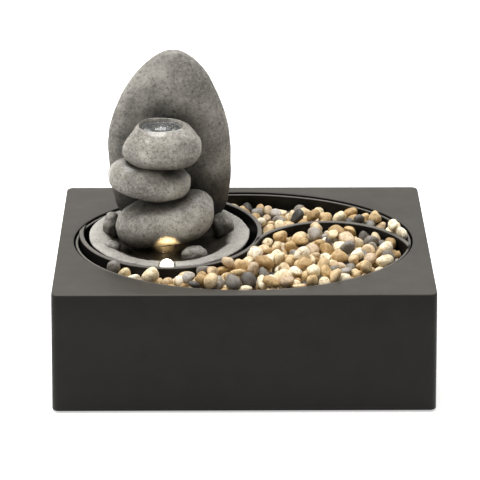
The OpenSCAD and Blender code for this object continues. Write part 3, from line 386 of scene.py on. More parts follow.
# %% Mesh helpers
def skin(name, points, closed_rows=True, closed_cols=False, caps=False):
    """A mesh from a grid of points (rows x columns x 3) in millimetres. Columns run round when closed_rows is
    true, rows join up when closed_cols is true, and caps closes the first and last rows with one face each."""
    rows, cols = points.shape[:2]
    index = np.arange(rows * cols).reshape(rows, cols)
    across = np.concatenate([index, index[:, :1]], axis=1) if closed_rows else index
    grid = np.concatenate([across, across[:1]], axis=0) if closed_cols else across
    quads = np.stack([grid[:-1, :-1], grid[:-1, 1:], grid[1:, 1:], grid[1:, :-1]], axis=-1).reshape(-1, 4)
    faces = quads.tolist()
    if caps:
        faces += [index[0, ::-1].tolist(), index[-1].tolist()]
    mesh = bpy.data.meshes.new(name)
    mesh.from_pydata((points.reshape(-1, 3) * MM).tolist(), [], faces)
    mesh.update()
    made = bpy.data.objects.new(name, mesh)
    bpy.context.collection.objects.link(made)
    return outward(made)


def outward(made, sharp_above=None):
    """Turns every face outward and smooths the shading, all but edges sharper than sharp_above degrees."""
    b = bmesh.new()
    b.from_mesh(made.data)
    bmesh.ops.recalc_face_normals(b, faces=b.faces)
    b.to_mesh(made.data)
    b.free()
    made.data.shade_smooth()
    if sharp_above:
        made.data.set_sharp_from_angle(angle=math.radians(sharp_above))
    return made


def solid_box(name, low, high):
    """A plain block, used only as a cutter."""
    low, high = np.array(low, float), np.array(high, float)
    ring = np.array([[low[0], low[1]], [high[0], low[1]], [high[0], high[1]], [low[0], high[1]]])
    rows = [np.column_stack([ring, np.full(4, z)]) for z in (low[2], high[2])]
    return skin(name, np.array(rows), caps=True)


def solid_oval(name, centre, half, low, high, count=192):
    """An upright oval block, used only as a cutter."""
    a = np.linspace(0, 2 * np.pi, count, endpoint=False)
    ring = np.column_stack([centre[0] + half[0] * np.cos(a), centre[1] + half[1] * np.sin(a)])
    return skin(name, np.array([np.column_stack([ring, np.full(count, z)]) for z in (low, high)]), caps=True)


def carve(piece, how, *cutters):
    """Cuts, joins or keeps the overlap of a piece with each cutter, then takes the cutters away."""
    for cutter in cutters:
        step = piece.modifiers.new("carve", "BOOLEAN")
        step.operation, step.object, step.solver = how, cutter, "EXACT"
        bpy.context.view_layer.update()
        result = bpy.data.meshes.new_from_object(piece.evaluated_get(bpy.context.evaluated_depsgraph_get()))
        piece.modifiers.clear()
        old, piece.data = piece.data, result
        bpy.data.meshes.remove(old)
        bpy.data.objects.remove(cutter)
    return piece


def lumps(points, size, seed, waves=24):
    """Smooth random relief from about -1 to 1 at each point: the sum of many plane waves, each with its own
    direction, a wavelength near size, and its own phase."""
    r = np.random.default_rng(seed)
    way = r.normal(size=(3, waves))
    way *= 2 * np.pi / (size * r.uniform(0.7, 1.5, waves)) / np.linalg.norm(way, axis=0)
    return np.sin(points @ way + r.uniform(0, 2 * np.pi, waves)).sum(axis=-1) / math.sqrt(waves)


def finish_piece(piece, look, body, nodes):
    piece.data.materials.clear()
    piece.data.materials.append(look)
    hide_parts(*nodes)
    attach(piece, body)
    return piece


def mark(piece, name, values):
    """Stores one number per vertex for the material to read."""
    layer = piece.data.attributes.new(name, "FLOAT", "POINT")
    layer.data.foreach_set("value", np.asarray(values, np.float32))


# %% [markdown]
# ## Casing
# A drafted box with one wall all round. It could be the solid itself with a bevel, but its plate is cut by an
# ellipse whose triangles shade badly, so it is made again as one ring of points: each column runs from the inner
# foot of the wall, round the foot, up the wall, over the plate's edge, across the plate, over the opening's lip
# and back inside. Columns are spaced by the outline, so the corner arcs keep their points.

# %% Casing outline
casing_mid, casing_half = place("casing")
casing_top = casing_mid[2] + casing_half[2]
casing_foot = casing_mid[2] - casing_half[2]
DRAFT = 1.9
WALL = 3.0
EDGE_ROUND, LIP_ROUND = 1.1, 0.8
plate_half = casing_half[:2] - DRAFT
MARGIN = np.array([11.3, 9.5])
OPEN_HALF = plate_half - MARGIN
OPEN_Y = -1.0
CORNER = 5.0


def outline(inset, z, arc=9, side=40):
    """The casing's outline at height z, moved inward by inset: straight sides joined by corner arcs."""
    grow = DRAFT * (casing_top - z) / (casing_top - casing_foot) - inset
    half, r = plate_half + grow, max(CORNER - inset, 0.6)
    angles = np.linspace(0, np.pi / 2, arc)
    loop = []
    for k, (sx, sy) in enumerate(((1, 1), (-1, 1), (-1, -1), (1, -1))):
        turn = angles + k * np.pi / 2
        loop.append(np.column_stack([sx * (half[0] - r) + r * np.cos(turn),
                                     sy * (half[1] - r) + r * np.sin(turn)]))
        after = [(-sx, sy), (sx, -sy)][k % 2]
        start, end = loop[-1][-1], np.array([after[0] * (half[0] - r), after[1] * (half[1] - r)])
        end = end + r * np.array([np.cos(turn[-1]), np.sin(turn[-1])])
        steps = np.linspace(0, 1, side + 2)[1:-1, None]
        loop.append(start + (end - start) * steps)
    return np.concatenate(loop)


base_loop = outline(0, casing_top)
bearing = np.arctan2(base_loop[:, 1] - OPEN_Y, base_loop[:, 0])


def opening(grow):
    """The opening's oval at the same bearings as the outline's points, grown outward."""
    a, b = OPEN_HALF + grow
    reach = a * b / np.hypot(b * np.cos(bearing), a * np.sin(bearing))
    return np.column_stack([reach * np.cos(bearing), OPEN_Y + reach * np.sin(bearing)])


def level(loop, z):
    return np.column_stack([loop, np.full(len(loop), z)])


rows = [level(outline(WALL, casing_foot), casing_foot), level(outline(0.5, casing_foot), casing_foot)]
rows += [level(outline(0.15, casing_foot + 0.15), casing_foot + 0.15)]
rows += [level(outline(0, z), z) for z in np.linspace(casing_foot + 0.5, casing_top - EDGE_ROUND, 5)]
for t in np.linspace(0, np.pi / 2, 5)[1:]:
    z = casing_top - EDGE_ROUND * (1 - math.sin(t))
    rows.append(level(outline(EDGE_ROUND * (1 - math.cos(t)), z), z))
plate_edge, lip_edge = rows[-1][:, :2], opening(LIP_ROUND)
rows += [level(plate_edge + (lip_edge - plate_edge) * s, casing_top) for s in (0.25, 0.5, 0.75, 1.0)]
for t in np.linspace(0, np.pi / 2, 4)[1:]:
    rows.append(level(opening(LIP_ROUND * (1 - math.sin(t))), casing_top - LIP_ROUND * (1 - math.cos(t))))
rows.append(level(opening(0), casing_top - WALL))
rows.append(level(outline(WALL, casing_top - WALL), casing_top - WALL))
casing = skin("casing_shell", np.array(rows), closed_cols=True)
print("casing points", len(casing.data.vertices))

# %% [markdown]
# The back wall steps in around the power socket and the switch. That pocket and the two holes come from the
# solids' own places: a block is joined inside the wall, then the pocket and the holes are cut through it.

# %% Rear pocket
socket_mid = place("power_socket")[0]
switch_mid = place("switch_body")[0]
POCKET_DEEP, POCKET_LEFT, POCKET_RIGHT, POCKET_TALL = 4.0, 30, 100, 32
SOCKET_HOLE_R = 5.6
SWITCH_HOLE = np.array([9.7, 6.7])
PAST = 9  # how far a cutter runs past what it cuts
wall_y = plate_half[1] + DRAFT * (casing_top - socket_mid[2]) / (casing_top - casing_foot)
pocket_y = wall_y - POCKET_DEEP
low_z, high_z = socket_mid[2] - POCKET_TALL / 2, socket_mid[2] + POCKET_TALL / 2
carve(casing, "UNION", solid_box("pad", (POCKET_LEFT - WALL, pocket_y - WALL, low_z - WALL),
                                 (POCKET_RIGHT + WALL, wall_y - 1.2, high_z + WALL)))
carve(casing, "DIFFERENCE", solid_box("pocket", (POCKET_LEFT, pocket_y, low_z),
                                      (POCKET_RIGHT, wall_y + PAST, high_z)))
hole_turn = np.linspace(0, 2 * np.pi, 40, endpoint=False)
barrel = np.array([np.column_stack([socket_mid[0] + SOCKET_HOLE_R * np.cos(hole_turn), np.full(40, y),
                                    socket_mid[2] + SOCKET_HOLE_R * np.sin(hole_turn)])
                   for y in (pocket_y - PAST, pocket_y + 2)])
carve(casing, "DIFFERENCE", skin("socket_hole", barrel, caps=True),
      solid_box("switch_hole", (switch_mid[0] - SWITCH_HOLE[0], pocket_y - PAST, switch_mid[2] - SWITCH_HOLE[1]),
                (switch_mid[0] + SWITCH_HOLE[0], pocket_y + 2, switch_mid[2] + SWITCH_HOLE[1])))
outward(casing, sharp_above=28)
finish_piece(casing, casing_black, "base", ["casing"])

# %% [markdown]
# ## Tray, ring and rib
# One dark moulding. What reads most is its rounded rims, which catch the light as thin pale lines, so each wall
# is a band swept along its path with a rounded top: a full ring, the rib's arc, and the oval outer wall. The rim
# tops are also painted paler by the finish's top colour, as a painted highlight. The ring and the rib run on into
# the outer wall, and what would stand outside the oval is cut off with an oval block.

# %% Walls as swept bands
tray_mid, tray_half = place("basin_tray")
rim_top = tray_mid[2] + tray_half[2]
tray_low = tray_mid[2] - tray_half[2]
TRAY_WALL = 2.0
floor_z = tray_low + TRAY_WALL
TRAY_OUT = OPEN_HALF - 1.2
TRAY_IN = TRAY_OUT - TRAY_WALL
RING_R, BAND = 70.0, 3.5
ring_at = np.array([-(TRAY_IN[0] - RING_R), OPEN_Y + 14.2])
RIB_R = 62.2
RIB_START, RIB_END = -20, 158
rib_way = math.radians(-20.8)
rib_at = ring_at + (RING_R + RIB_R - BAND / 2 - 1.0) * np.array([math.cos(rib_way), math.sin(rib_way)])


def band_profile(thick, low, high, round_r):
    """Outline of a wall's section: up one side, over a rounded top, down the other. Columns: offset, height."""
    t = np.linspace(0, np.pi / 2, 6)
    left = np.column_stack([-thick / 2 + round_r * (1 - np.cos(t)), high - round_r * (1 - np.sin(t))])
    right = np.column_stack([-left[::-1, 0], left[::-1, 1]])
    return np.concatenate([[[-thick / 2, low]], [[-thick / 2, (low + high) / 2]], left, right,
                           [[thick / 2, (low + high) / 2]], [[thick / 2, low]]])


def arc_band(name, centre, radius, start, end, profile, count):
    """A wall swept along an arc, from one bearing to another in degrees. A full turn closes on itself."""
    full = abs(end - start) >= 360
    a = np.radians(np.linspace(start, end, count, endpoint=not full))[:, None]
    r = radius + profile[None, :, 0]
    points = np.stack([centre[0] + r * np.cos(a), centre[1] + r * np.sin(a),
                       np.broadcast_to(profile[None, :, 1], r.shape) + 0 * a], axis=-1)
    return skin(name, points, closed_cols=full, caps=not full)


def oval_band(name, half, profile, count=256):
    """A wall that follows the opening's oval, its profile's offset measured outward."""
    a = np.linspace(0, 2 * np.pi, count, endpoint=False)[:, None]
    points = np.stack([(half[0] + profile[None, :, 0]) * np.cos(a),
                       OPEN_Y + (half[1] + profile[None, :, 0]) * np.sin(a),
                       np.broadcast_to(profile[None, :, 1], (count, len(profile)))], axis=-1)
    return skin(name, points, closed_cols=True)


keep = TRAY_IN + 1.1
RIM_ROUND = 0.8
ring = arc_band("ring", ring_at, RING_R - BAND / 2, 0, 360,
                band_profile(BAND, tray_low, rim_top, RIM_ROUND), 220)
carve(ring, "INTERSECT", solid_oval("keep", (0, OPEN_Y), keep, tray_low - 5, rim_top + 5))
rib = arc_band("rib", rib_at, RIB_R, RIB_START, RIB_END, band_profile(BAND, tray_low, rim_top, RIM_ROUND), 140)
carve(rib, "INTERSECT", solid_oval("keep", (0, OPEN_Y), keep, tray_low - 5, rim_top + 5))
carve(rib, "DIFFERENCE", solid_oval("hollow", ring_at, (RING_R - BAND + 1.2,) * 2, tray_low - 5, rim_top + 5))
wall = oval_band("wall", TRAY_OUT - 1.0, band_profile(2.0, tray_low, casing_top - 1.2, 0.7))
tray_floor = solid_oval("tray_floor", (0, OPEN_Y), TRAY_IN + 1.0, tray_low, floor_z)
carve(tray_floor, "DIFFERENCE",
      solid_oval("well_mouth", ring_at, (RING_R - BAND,) * 2, tray_low - 5, floor_z + 5))


def join(name, first, *others):
    """One piece from several: their meshes are put together in the first."""
    b = bmesh.new()
    for o in (first, *others):
        b.from_mesh(o.data)
    b.to_mesh(first.data)
    b.free()
    for o in others:
        bpy.data.objects.remove(o)
    first.name = first.data.name = name
    return first


# %% Ledges for the dish, the lamp's shelf and the ears that hang the tray from the plate
dish_mid, dish_half = place("stone_dish")
dish_low = dish_mid[2] - dish_half[2]


def turned_block(name, centre, bearing_deg, near, far, half_width, low, high):
    """A block that reaches from near to far along a bearing from a centre."""
    c, s = math.cos(math.radians(bearing_deg)), math.sin(math.radians(bearing_deg))
    corners = np.array([[near, -half_width], [far, -half_width], [far, half_width], [near, half_width]])
    ring_points = np.column_stack([centre[0] + corners[:, 0] * c - corners[:, 1] * s,
                                   centre[1] + corners[:, 0] * s + corners[:, 1] * c])
    return skin(name, np.array([np.column_stack([ring_points, np.full(4, z)]) for z in (low, high)]), caps=True)


ledges = [turned_block("ledge", ring_at, a, 46, RING_R - BAND + 1, 6, dish_low - 3, dish_low)
          for a in (30, 150, 210, 330)]
lamp_mid, lamp_half = place("lamp_housing")
shelf = turned_block("shelf", (lamp_mid[0], ring_at[1]), -90, ring_at[1] - lamp_mid[1] - 6, RING_R - BAND + 1, 5.5,
                     tray_low, tray_low + 2.5)
screw_mid, screw_half = place("tray_screws")
SCREW_IN_PLATE = 5.5
ear_top = screw_mid[2] + screw_half[2] - SCREW_IN_PLATE
ears = []
for sx in (-1, 1):
    for sy in (-1, 1):
        at = np.array([sx * (OPEN_HALF[0] + 8), sy * (OPEN_HALF[1] + 8)]) * math.sqrt(0.5) + (0, OPEN_Y)
        turn = math.degrees(math.atan2(OPEN_HALF[0], OPEN_HALF[1]))
        turn = sy * turn if sx > 0 else 180 - sy * turn
        ears.append(turned_block("ear", at, turn, -9.5, 5, 5, ear_top - 3, ear_top))
for piece in (ring, rib, wall, tray_floor, shelf, *ledges, *ears):
    outward(piece, sharp_above=35)
tray = join("tray_moulding", wall, ring, rib, tray_floor, shelf, *ledges, *ears)
tray.data.shade_smooth()
tray.data.set_sharp_from_angle(angle=math.radians(38))
finish_piece(tray, tray_black, "base", ["basin_tray"])
print("tray faces", len(tray.data.polygons))

# %% [markdown]
# ## Dish
# A cast stone disc with a sloping rim and a shallow hollow. It is turned from one profile: rows run from the
# middle of the underside, out round the edge, and back over the rim to the middle. Noise roughens the rows that
# show. The back left is cut by the tray's oval, as the solid is, and the front is notched for the lamp.

# %% Dish
DISH = np.array([ring_at[0] - 1.0, ring_at[1] - 2.5])
rim_z = dish_mid[2] + dish_half[2]
hollow_z = dish_low + 3.0
profile = np.array([[0.01, dish_low], [20, dish_low], [40, dish_low], [53, dish_low], [56.5, dish_low + 1.5],
                    [59, rim_z - 5.5], [60.8, rim_z - 2.0], [61.3, rim_z - 0.9], [60.6, rim_z - 0.3],
                    [59.2, rim_z - 0.15], [57, rim_z - 0.4], [54, rim_z - 0.95], [50.5, rim_z - 1.7],
                    [48, rim_z - 2.3], [46, rim_z - 3.4], [43, rim_z - 5.4], [40, rim_z - 7.5],
                    [37, hollow_z + 0.5], [33, hollow_z], [22, hollow_z], [10, hollow_z], [0.01, hollow_z]])
DISH_ROWS, DISH_COLUMNS = 96, 240
step = np.concatenate([[0], np.cumsum(np.hypot(*np.diff(profile, axis=0).T))])
along = np.interp(np.linspace(0, 1, DISH_ROWS), np.linspace(0, 1, len(profile)), step)
profile = np.column_stack([np.interp(along, step, profile[:, k]) for k in (0, 1)])
a = np.linspace(0, 2 * np.pi, DISH_COLUMNS, endpoint=False)[None, :]
grid = np.stack([DISH[0] + profile[:, :1] * np.cos(a), DISH[1] + profile[:, :1] * np.sin(a),
                 np.broadcast_to(profile[:, 1:], (DISH_ROWS, DISH_COLUMNS))], axis=-1)
rough_part = (profile[:, 0] > 30) & (profile[:, 1] > dish_low + 1)
grid[rough_part] += lumps(grid, 17, 3)[rough_part][..., None] * np.array([0.12, 0.12, 0.22])
grid[rough_part] += lumps(grid, 4, 4)[rough_part][..., None] * np.array([0.06, 0.06, 0.1])
dish = skin("dish_stone_disc", grid, caps=True)
carve(dish, "INTERSECT", solid_oval("keep", (0, OPEN_Y), TRAY_IN - 2.0, dish_low - 9, rim_z + 9))
NOTCH_R, DRAIN_R, PAD_R, PAD_TOP = 6.5, 2.2, 9.5, 90.2
notch = solid_box("notch", (lamp_mid[0] - NOTCH_R, DISH[1] - 70, dish_low - 1),
                  (lamp_mid[0] + NOTCH_R, lamp_mid[1] + NOTCH_R, rim_z + 9))
drains = [solid_oval("drain", DISH + 32 * np.array([math.cos(t), math.sin(t)]), (DRAIN_R,) * 2,
                     dish_low - 1, rim_z, 24) for t in np.radians(-150 + 28 * np.arange(5))]
carve(dish, "UNION", solid_oval("pad", DISH + (-4.7, -5.7), (PAD_R,) * 2, dish_low + 1, PAD_TOP, 48))
carve(dish, "DIFFERENCE", notch, *drains)
outward(dish, sharp_above=50)


def points_of(piece):
    """A piece's vertices in millimetres."""
    flat = np.empty(len(piece.data.vertices) * 3)
    piece.data.vertices.foreach_get("co", flat)
    return flat.reshape(-1, 3) / MM


# The dish's hollow is marked wet, and the same mask darkens it nearly to black: painted shadow under the lowest
# stone.
HOLLOW_WET_SHADE_R = 48.5
at = points_of(dish)
from_mid = np.hypot(at[:, 0] - DISH[0], at[:, 1] - DISH[1])
below_rim = np.clip((rim_z + 1 - at[:, 2]) / 3, 0, 1)
hollow_wet_shade = np.clip((HOLLOW_WET_SHADE_R - from_mid + 2.2 * lumps(at, 14, 9)) / 4.5, 0, 1) * below_rim
mark(dish, "wet", hollow_wet_shade * 0.9)
mark(dish, "painted_shade", hollow_wet_shade)
finish_piece(dish, dish_rock, "stones", ["stone_dish"])

# %% [markdown]
# ## Stones
# Four big stones carry the look. The three stacked ones start as a grid over a ball, squashed and made a little
# boxy by a power below 1 on its sines, then pushed in and out by smooth waves of three sizes. The tall stone isn't
# an egg: its left and right edges are given as points up its height, and each row is an oval between them.
# The top stone's grid goes over its brim and down into a bowl.

# %% Round stones
STONE_ROWS, STONE_COLUMNS = 120, 180


def ball_grid(centre, half, boxy=0.92, tilt=0.0, seed=1, relief=(0.045, 0.018, 0.006), stop=np.pi, sole=1.0,
              rows=STONE_ROWS, columns=STONE_COLUMNS):
    """Points of a squashed ball: x = cos(lon) sin(lat), each sine and cosine raised to the power boxy. The lower
    half is flattened by sole."""
    lat = np.linspace(0.004, stop, rows)[:, None]
    lon = np.linspace(0, 2 * np.pi, columns, endpoint=False)[None, :]

    def power(v):
        return np.sign(v) * np.abs(v) ** boxy

    unit = np.stack([power(np.cos(lon)) * power(np.sin(lat)), power(np.sin(lon)) * power(np.sin(lat)),
                     -power(np.cos(lat)) + 0 * lon], axis=-1)
    points = unit * half
    points[..., 2] *= np.where(points[..., 2] < 0, sole, 1.0)
    size = float(np.mean(half))
    push = sum(r * size * lumps(points, size * s, seed + i)
               for i, (r, s) in enumerate(zip(relief, (1.9, 0.75, 0.3))))
    points = points + unit * push[..., None]
    c, s = math.cos(math.radians(tilt)), math.sin(math.radians(tilt))
    x, z = points[..., 0] * c - points[..., 2] * s, points[..., 0] * s + points[..., 2] * c
    return np.stack([x, points[..., 1], z], axis=-1) + centre


def within(points, node, slack=0.6):
    """Keeps a stone inside its solid's box, give or take a little, so that it still fits its neighbours."""
    low, high = (np.array(v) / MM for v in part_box(node))
    return np.clip(points, low - slack, high + slack)


STACK_Y = ring_at[1] - 8.2
WELL = np.array([ring_at[0] - 5.7, STACK_Y])
lower = ball_grid((ring_at[0] - 2.6, STACK_Y, 109.0), (38.8, 26.2, 19.6), 0.9, 15, 21, sole=0.98)
middle = ball_grid((ring_at[0] - 14.7, STACK_Y, 141.0), (30.9, 23.4, 16.4), 0.88, -4, 34, sole=0.84)
top_half = np.array([29.4, 23.4, 20.2])
top_at = np.array([ring_at[0] - 5.2, STACK_Y, 168.2])
BRIM = 0.6
brim_lat = np.pi - math.asin(BRIM ** (1 / 0.9))
top_grid = ball_grid(top_at, top_half, 0.9, 2, 47, stop=brim_lat, sole=0.8)
LEVEL_ROWS = 22
settle = np.clip((np.arange(STONE_ROWS) - (STONE_ROWS - LEVEL_ROWS)) / (LEVEL_ROWS - 1), 0, 1)[:, None] ** 2
top_grid[..., 2] += settle * (top_grid[-1, :, 2].max() - 0.4 - top_grid[-1:, :, 2])
ring_in = top_grid[-1]
middle_of_bowl = ring_in.mean(axis=0)
shrink = np.concatenate([[0.985, 0.95], np.linspace(0.9, 0.02, 26)])[:, None, None]
bowl = middle_of_bowl + (ring_in - middle_of_bowl) * shrink
inward = shrink[..., 0]
BOWL_DEEP = 9.6
bowl[..., 2] = ring_in[..., 2] * inward + middle_of_bowl[2] * (1 - inward) + 0.4 * (1 - inward ** 6)
bowl[..., 2] -= BOWL_DEEP * (1 - inward ** 3.2)
top_grid = np.concatenate([top_grid, bowl])

EDGE_Z = np.array([84.6, 88, 93, 100, 106, 118, 133, 153, 167, 182, 195, 208, 216.5, 223, 227, 228.8, 229.6])
LEFT_X = np.array([-78, -86, -92, -96.5, -98.5, -101, -102.8, -103.6, -102.6, -98.2, -92.4, -84.6, -77.4, -70, -63.6,
                   -59.5, -54])
RIGHT_X = np.array([-32, -24, -18.5, -14.3, -11.6, -10.3, -9.2, -9.2, -10.6, -14, -19, -25.3, -31, -37.2, -43,
                    -47, -52.5])
TALL_ROWS, TALL_DEEP, BOXY = 150, 16.4, 0.86
rise = (1 - np.cos(np.linspace(0, np.pi, TALL_ROWS))) / 2
edge_z = EDGE_Z[0] + rise * (EDGE_Z[-1] - EDGE_Z[0])
soft = np.hanning(9) / np.hanning(9).sum()
left_x, right_x = (np.convolve(np.pad(np.interp(edge_z, EDGE_Z, e), 4, "edge"), soft, "valid")
                   for e in (LEFT_X, RIGHT_X))
half_x = (right_x - left_x) / 2
deep = TALL_DEEP * np.clip(half_x / half_x.max(), 0, 1) ** 0.62
lon = np.linspace(0, 2 * np.pi, STONE_COLUMNS, endpoint=False)[None, :]
unit = np.stack([np.sign(v) * np.abs(v) ** BOXY for v in (np.cos(lon), np.sin(lon))], axis=-1)
tall = np.stack([(left_x + right_x)[:, None] / 2 + half_x[:, None] * unit[..., 0],
                 ring_at[1] + 34.2 + deep[:, None] * unit[..., 1],
                 np.broadcast_to(edge_z[:, None], (TALL_ROWS, STONE_COLUMNS))], axis=-1)
fade = np.clip((230 - edge_z) / 12, 0.15, 1)[:, None] * np.clip((edge_z - 82) / 12, 0.2, 1)[:, None]
waves = 1.15 * lumps(tall, 48, 61) + 0.5 * lumps(tall, 17, 62) + 0.14 * lumps(tall, 6, 63)
tall[..., 0] += unit[..., 0] * fade * waves * 0.25
tall[..., 1] += unit[..., 1] * fade * waves
tall = within(tall, "upright_stone")

# %% [markdown]
# Three numbers at each point steer the stone's finish: wet rises with height on the stones that water runs over,
# the painted-shade number darkens the feet and the bottom of the bowl as painted shade, and the paling number
# lightens some stones as a whole and paints a highlight along the brim: there it grows by
# exp(-(distance to the brim / 0.06)^2), in shares of the bowl's half width.

# %% Stone pieces
for name, grid, node, wet_from, wet_to, foot_shade_to, foot_shade_over, foot_shade_share in (
        ("tall_stone", tall, "upright_stone", 400, 401, 138, 18, 0.8),
        ("bottom_stone", lower, "lower_stone", 96, 132, 100, 10, 0.9),
        ("middle_stone_form", middle, "middle_stone", 124, 150, 140, 11, 0.9),
        ("bowl_stone", top_grid, "top_stone", 150, 178, 169, 13, 0.9)):
    piece = skin(name, grid, caps=True)
    if node == "top_stone":
        carve(piece, "DIFFERENCE", solid_oval("bore", WELL, (4.8, 4.8), 100, 177, 40))
        outward(piece)
    at = points_of(piece)
    z = at[:, 2]
    mark(piece, "wet", np.clip((z - wet_from) / (wet_to - wet_from), 0, 1))
    inside = np.hypot(at[:, 0] - middle_of_bowl[0], at[:, 1] - middle_of_bowl[1]) < 17
    # Painted shade: the bottom of the top stone's bowl and the foot of each stone are darkened.
    bowl_shade = inside * np.clip((middle_of_bowl[2] - 1.2 - z) / 2.5, 0, 1) * (z > top_at[2]) * 0.75
    foot = np.clip((foot_shade_to - z + 1.5 * lumps(at, 16, 90)) / foot_shade_over, 0, 1) * foot_shade_share
    mark(piece, "painted_shade", np.maximum(bowl_shade, foot))
    # The paling number: a lighter tone for some stones, and on the top stone a painted highlight along the brim.
    paler_with_brim_highlight = {"upright_stone": 0.0, "lower_stone": 1.5}.get(node, 1.0)
    brim_half = (ring_in.max(axis=0) - ring_in.min(axis=0))[:2] / 2
    from_brim = np.hypot(*((at[:, :2] - middle_of_bowl[:2]) / brim_half).T) - 0.98
    brim_highlight = np.exp(-(from_brim / 0.06) ** 2) * (z > middle_of_bowl[2] - 2)
    mark(piece, "paler_with_brim_highlight", paler_with_brim_highlight + brim_highlight * (node == "top_stone"))
    finish_piece(piece, river_rock, "stones", [node])
    print(name, len(at), np.round(at.min(0), 1), np.round(at.max(0), 1))

# %% Small stones in the dish
small = [((-100.5, 21.7, 95.4), (6.3, 8.2, 12.0), 5), ((-15.5, 24.7, 94.4), (7.8, 8.7, 10.4), 6),
         ((-37.5, -23.3, 92.0), (9.7, 6.8, 6.8), 7), ((-99.5, -8.3, 91.0), (6.8, 5.8, 5.3), 8)]
pieces = [skin("small", ball_grid(np.array(c), np.array(h), 0.85, 0, 70 + s, (0.07, 0.03, 0.01),
                                  rows=40, columns=60), caps=True) for c, h, s in small]
small_stones = join("small_stones", *pieces)
mark(small_stones, "wet", np.full(len(small_stones.data.vertices), 0.5))
mark(small_stones, "paler_with_brim_highlight", np.full(len(small_stones.data.vertices), 0.8))
finish_piece(small_stones, river_rock, "stones", ["dish_stones"])

# %% [markdown]
# ## Water
# Water wells up through the top stone and fills its bowl. A still disc would look like glass, so its surface has a
# low dome over the tube and rings of ripples that fade outward: it stands 1.6 exp(-(d / 4.5)^2) +
# 0.16 cos(1.3 d) exp(-d / 12) above its level at a distance d from the tube, and flat at the shore. It is a closed
# lens of water: the underside follows the bowl.

# %% Water in the bowl
r = np.linspace(0.02, 1, 44)[:, None]
a = np.linspace(0, 2 * np.pi, 120, endpoint=False)[None, :]
reach = np.hypot(*(ring_in[:, :2] - middle_of_bowl[:2]).T)
bearing_in = np.arctan2(ring_in[:, 1] - middle_of_bowl[1], ring_in[:, 0] - middle_of_bowl[0])
order = np.argsort(bearing_in)
shore = np.interp(np.mod(a + np.pi, 2 * np.pi) - np.pi, bearing_in[order], reach[order],
                  period=2 * np.pi) * 0.93
x, y = middle_of_bowl[0] + shore * r * np.cos(a), middle_of_bowl[1] + shore * r * np.sin(a)
from_well = np.hypot(x - WELL[0], y - WELL[1])
level_z = ring_in[:, 2].min() - 2.4
ripple = 1.6 * np.exp(-(from_well / 4.5) ** 2) + 0.16 * np.cos(1.3 * from_well) * np.exp(-from_well / 12)
surface = np.stack([x, y, level_z + ripple * (1 - r ** 6)], axis=-1)
bed = np.minimum(level_z - 0.35, middle_of_bowl[2] + 0.6 - 9.4 * (1 - r ** 2.4) + 0 * x)
under = np.stack([x, y, bed], axis=-1)[::-1]
water = skin("water_in_bowl", np.concatenate([surface, under]), caps=True)
p = Paint("clear_water", 0.02)
p.shader.inputs["Transmission Weight"].default_value = 0.96
p.shader.inputs["IOR"].default_value = 1.33
p.colour(p.ramp(p.noise(90, 3), (0.3, (0.86, 0.9, 0.9)), (0.7, (0.97, 0.98, 0.98))))
p.rough(p.span(p.noise(300, 3), 0.3, 0.7, 0.0, 0.06))
p.bump(p.noise(120, 2), 0.0001, 0.15)
water.data.materials.append(p.material)
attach(water, "stones")

# %% [markdown]
# ## Lamp
# A lens in a short dark cup at the front of the dish lights the lowest stone. The lens glows, and a small lamp
# just over it throws the light that reaches the stones, so the glow doesn't need a great many samples.

# %% Lamp
cup_top = lamp_mid[2] + lamp_half[2]
turn = np.linspace(0, 2 * np.pi, 72, endpoint=False)[None, :]


def turned(name, centre, profile):
    """A solid of revolution about an upright axis: profile is radius, height in millimetres, bottom first."""
    profile = np.array(profile, float)
    points = np.stack([centre[0] + profile[:, :1] * np.cos(turn), centre[1] + profile[:, :1] * np.sin(turn),
                       np.broadcast_to(profile[:, 1:], (len(profile), turn.shape[1]))], axis=-1)
    return skin(name, points, caps=True)


cup_low = lamp_mid[2] - lamp_half[2]
arc = np.linspace(0, np.pi / 2, 10)
cup = turned("lamp_cup", lamp_mid, [[1.4, cup_low], [5.2, cup_low], [5.5, cup_low + 0.3], [5.5, cup_top - 0.4],
                                    [5.2, cup_top], [4.7, cup_top], [4.5, cup_top - 0.5], [4.4, cup_low + 5],
                                    [1.4, cup_low + 5]])
outward(cup, sharp_above=40)
finish_piece(cup, pump_black, "base", ["lamp_housing"])
DOME_R, DOME_TALL = 5.1, 5.4
dome = [[DOME_R * math.cos(t) + 0.02, cup_top + 0.4 + DOME_TALL * math.sin(t)] for t in arc]
lens = turned("lamp_dome", lamp_mid, [[0.05, cup_low + 5.1], [4.2, cup_low + 5.1], [4.3, cup_top - 0.2],
                                      [5.0, cup_top + 0.1]] + dome)
p = Paint("lamp_glow", 0.25)
p.colour(p.ramp(p.noise(700, 2), (0.3, (1.0, 0.92, 0.75)), (0.7, (1.0, 0.97, 0.88))))
p.join(p.ramp(p.noise(500, 3), (0.3, (1.0, 0.9, 0.7)), (0.7, (1.0, 0.96, 0.86))),
       p.shader.inputs["Emission Color"])
p.shader.inputs["Emission Strength"].default_value = 5.0
p.bump(p.cells(900), 0.0002, 0.5)
finish_piece(lens, p.material, "base", ["lamp_lens"])
data = bpy.data.lights.new("lamp_light", "SPOT")
data.energy, data.shadow_soft_size, data.color = 0.5, 0.002, (1.0, 0.76, 0.42)
data.spot_size, data.spot_blend = math.radians(48), 1.0
lamp_light = bpy.data.objects.new("lamp_light", data)
bpy.context.collection.objects.link(lamp_light)
lamp_light.location = (lamp_mid[0] * MM, (lamp_mid[1] + 6) * MM, (cup_top + 4.0) * MM)
lamp_light.rotation_euler = (math.radians(93), 0, 0)

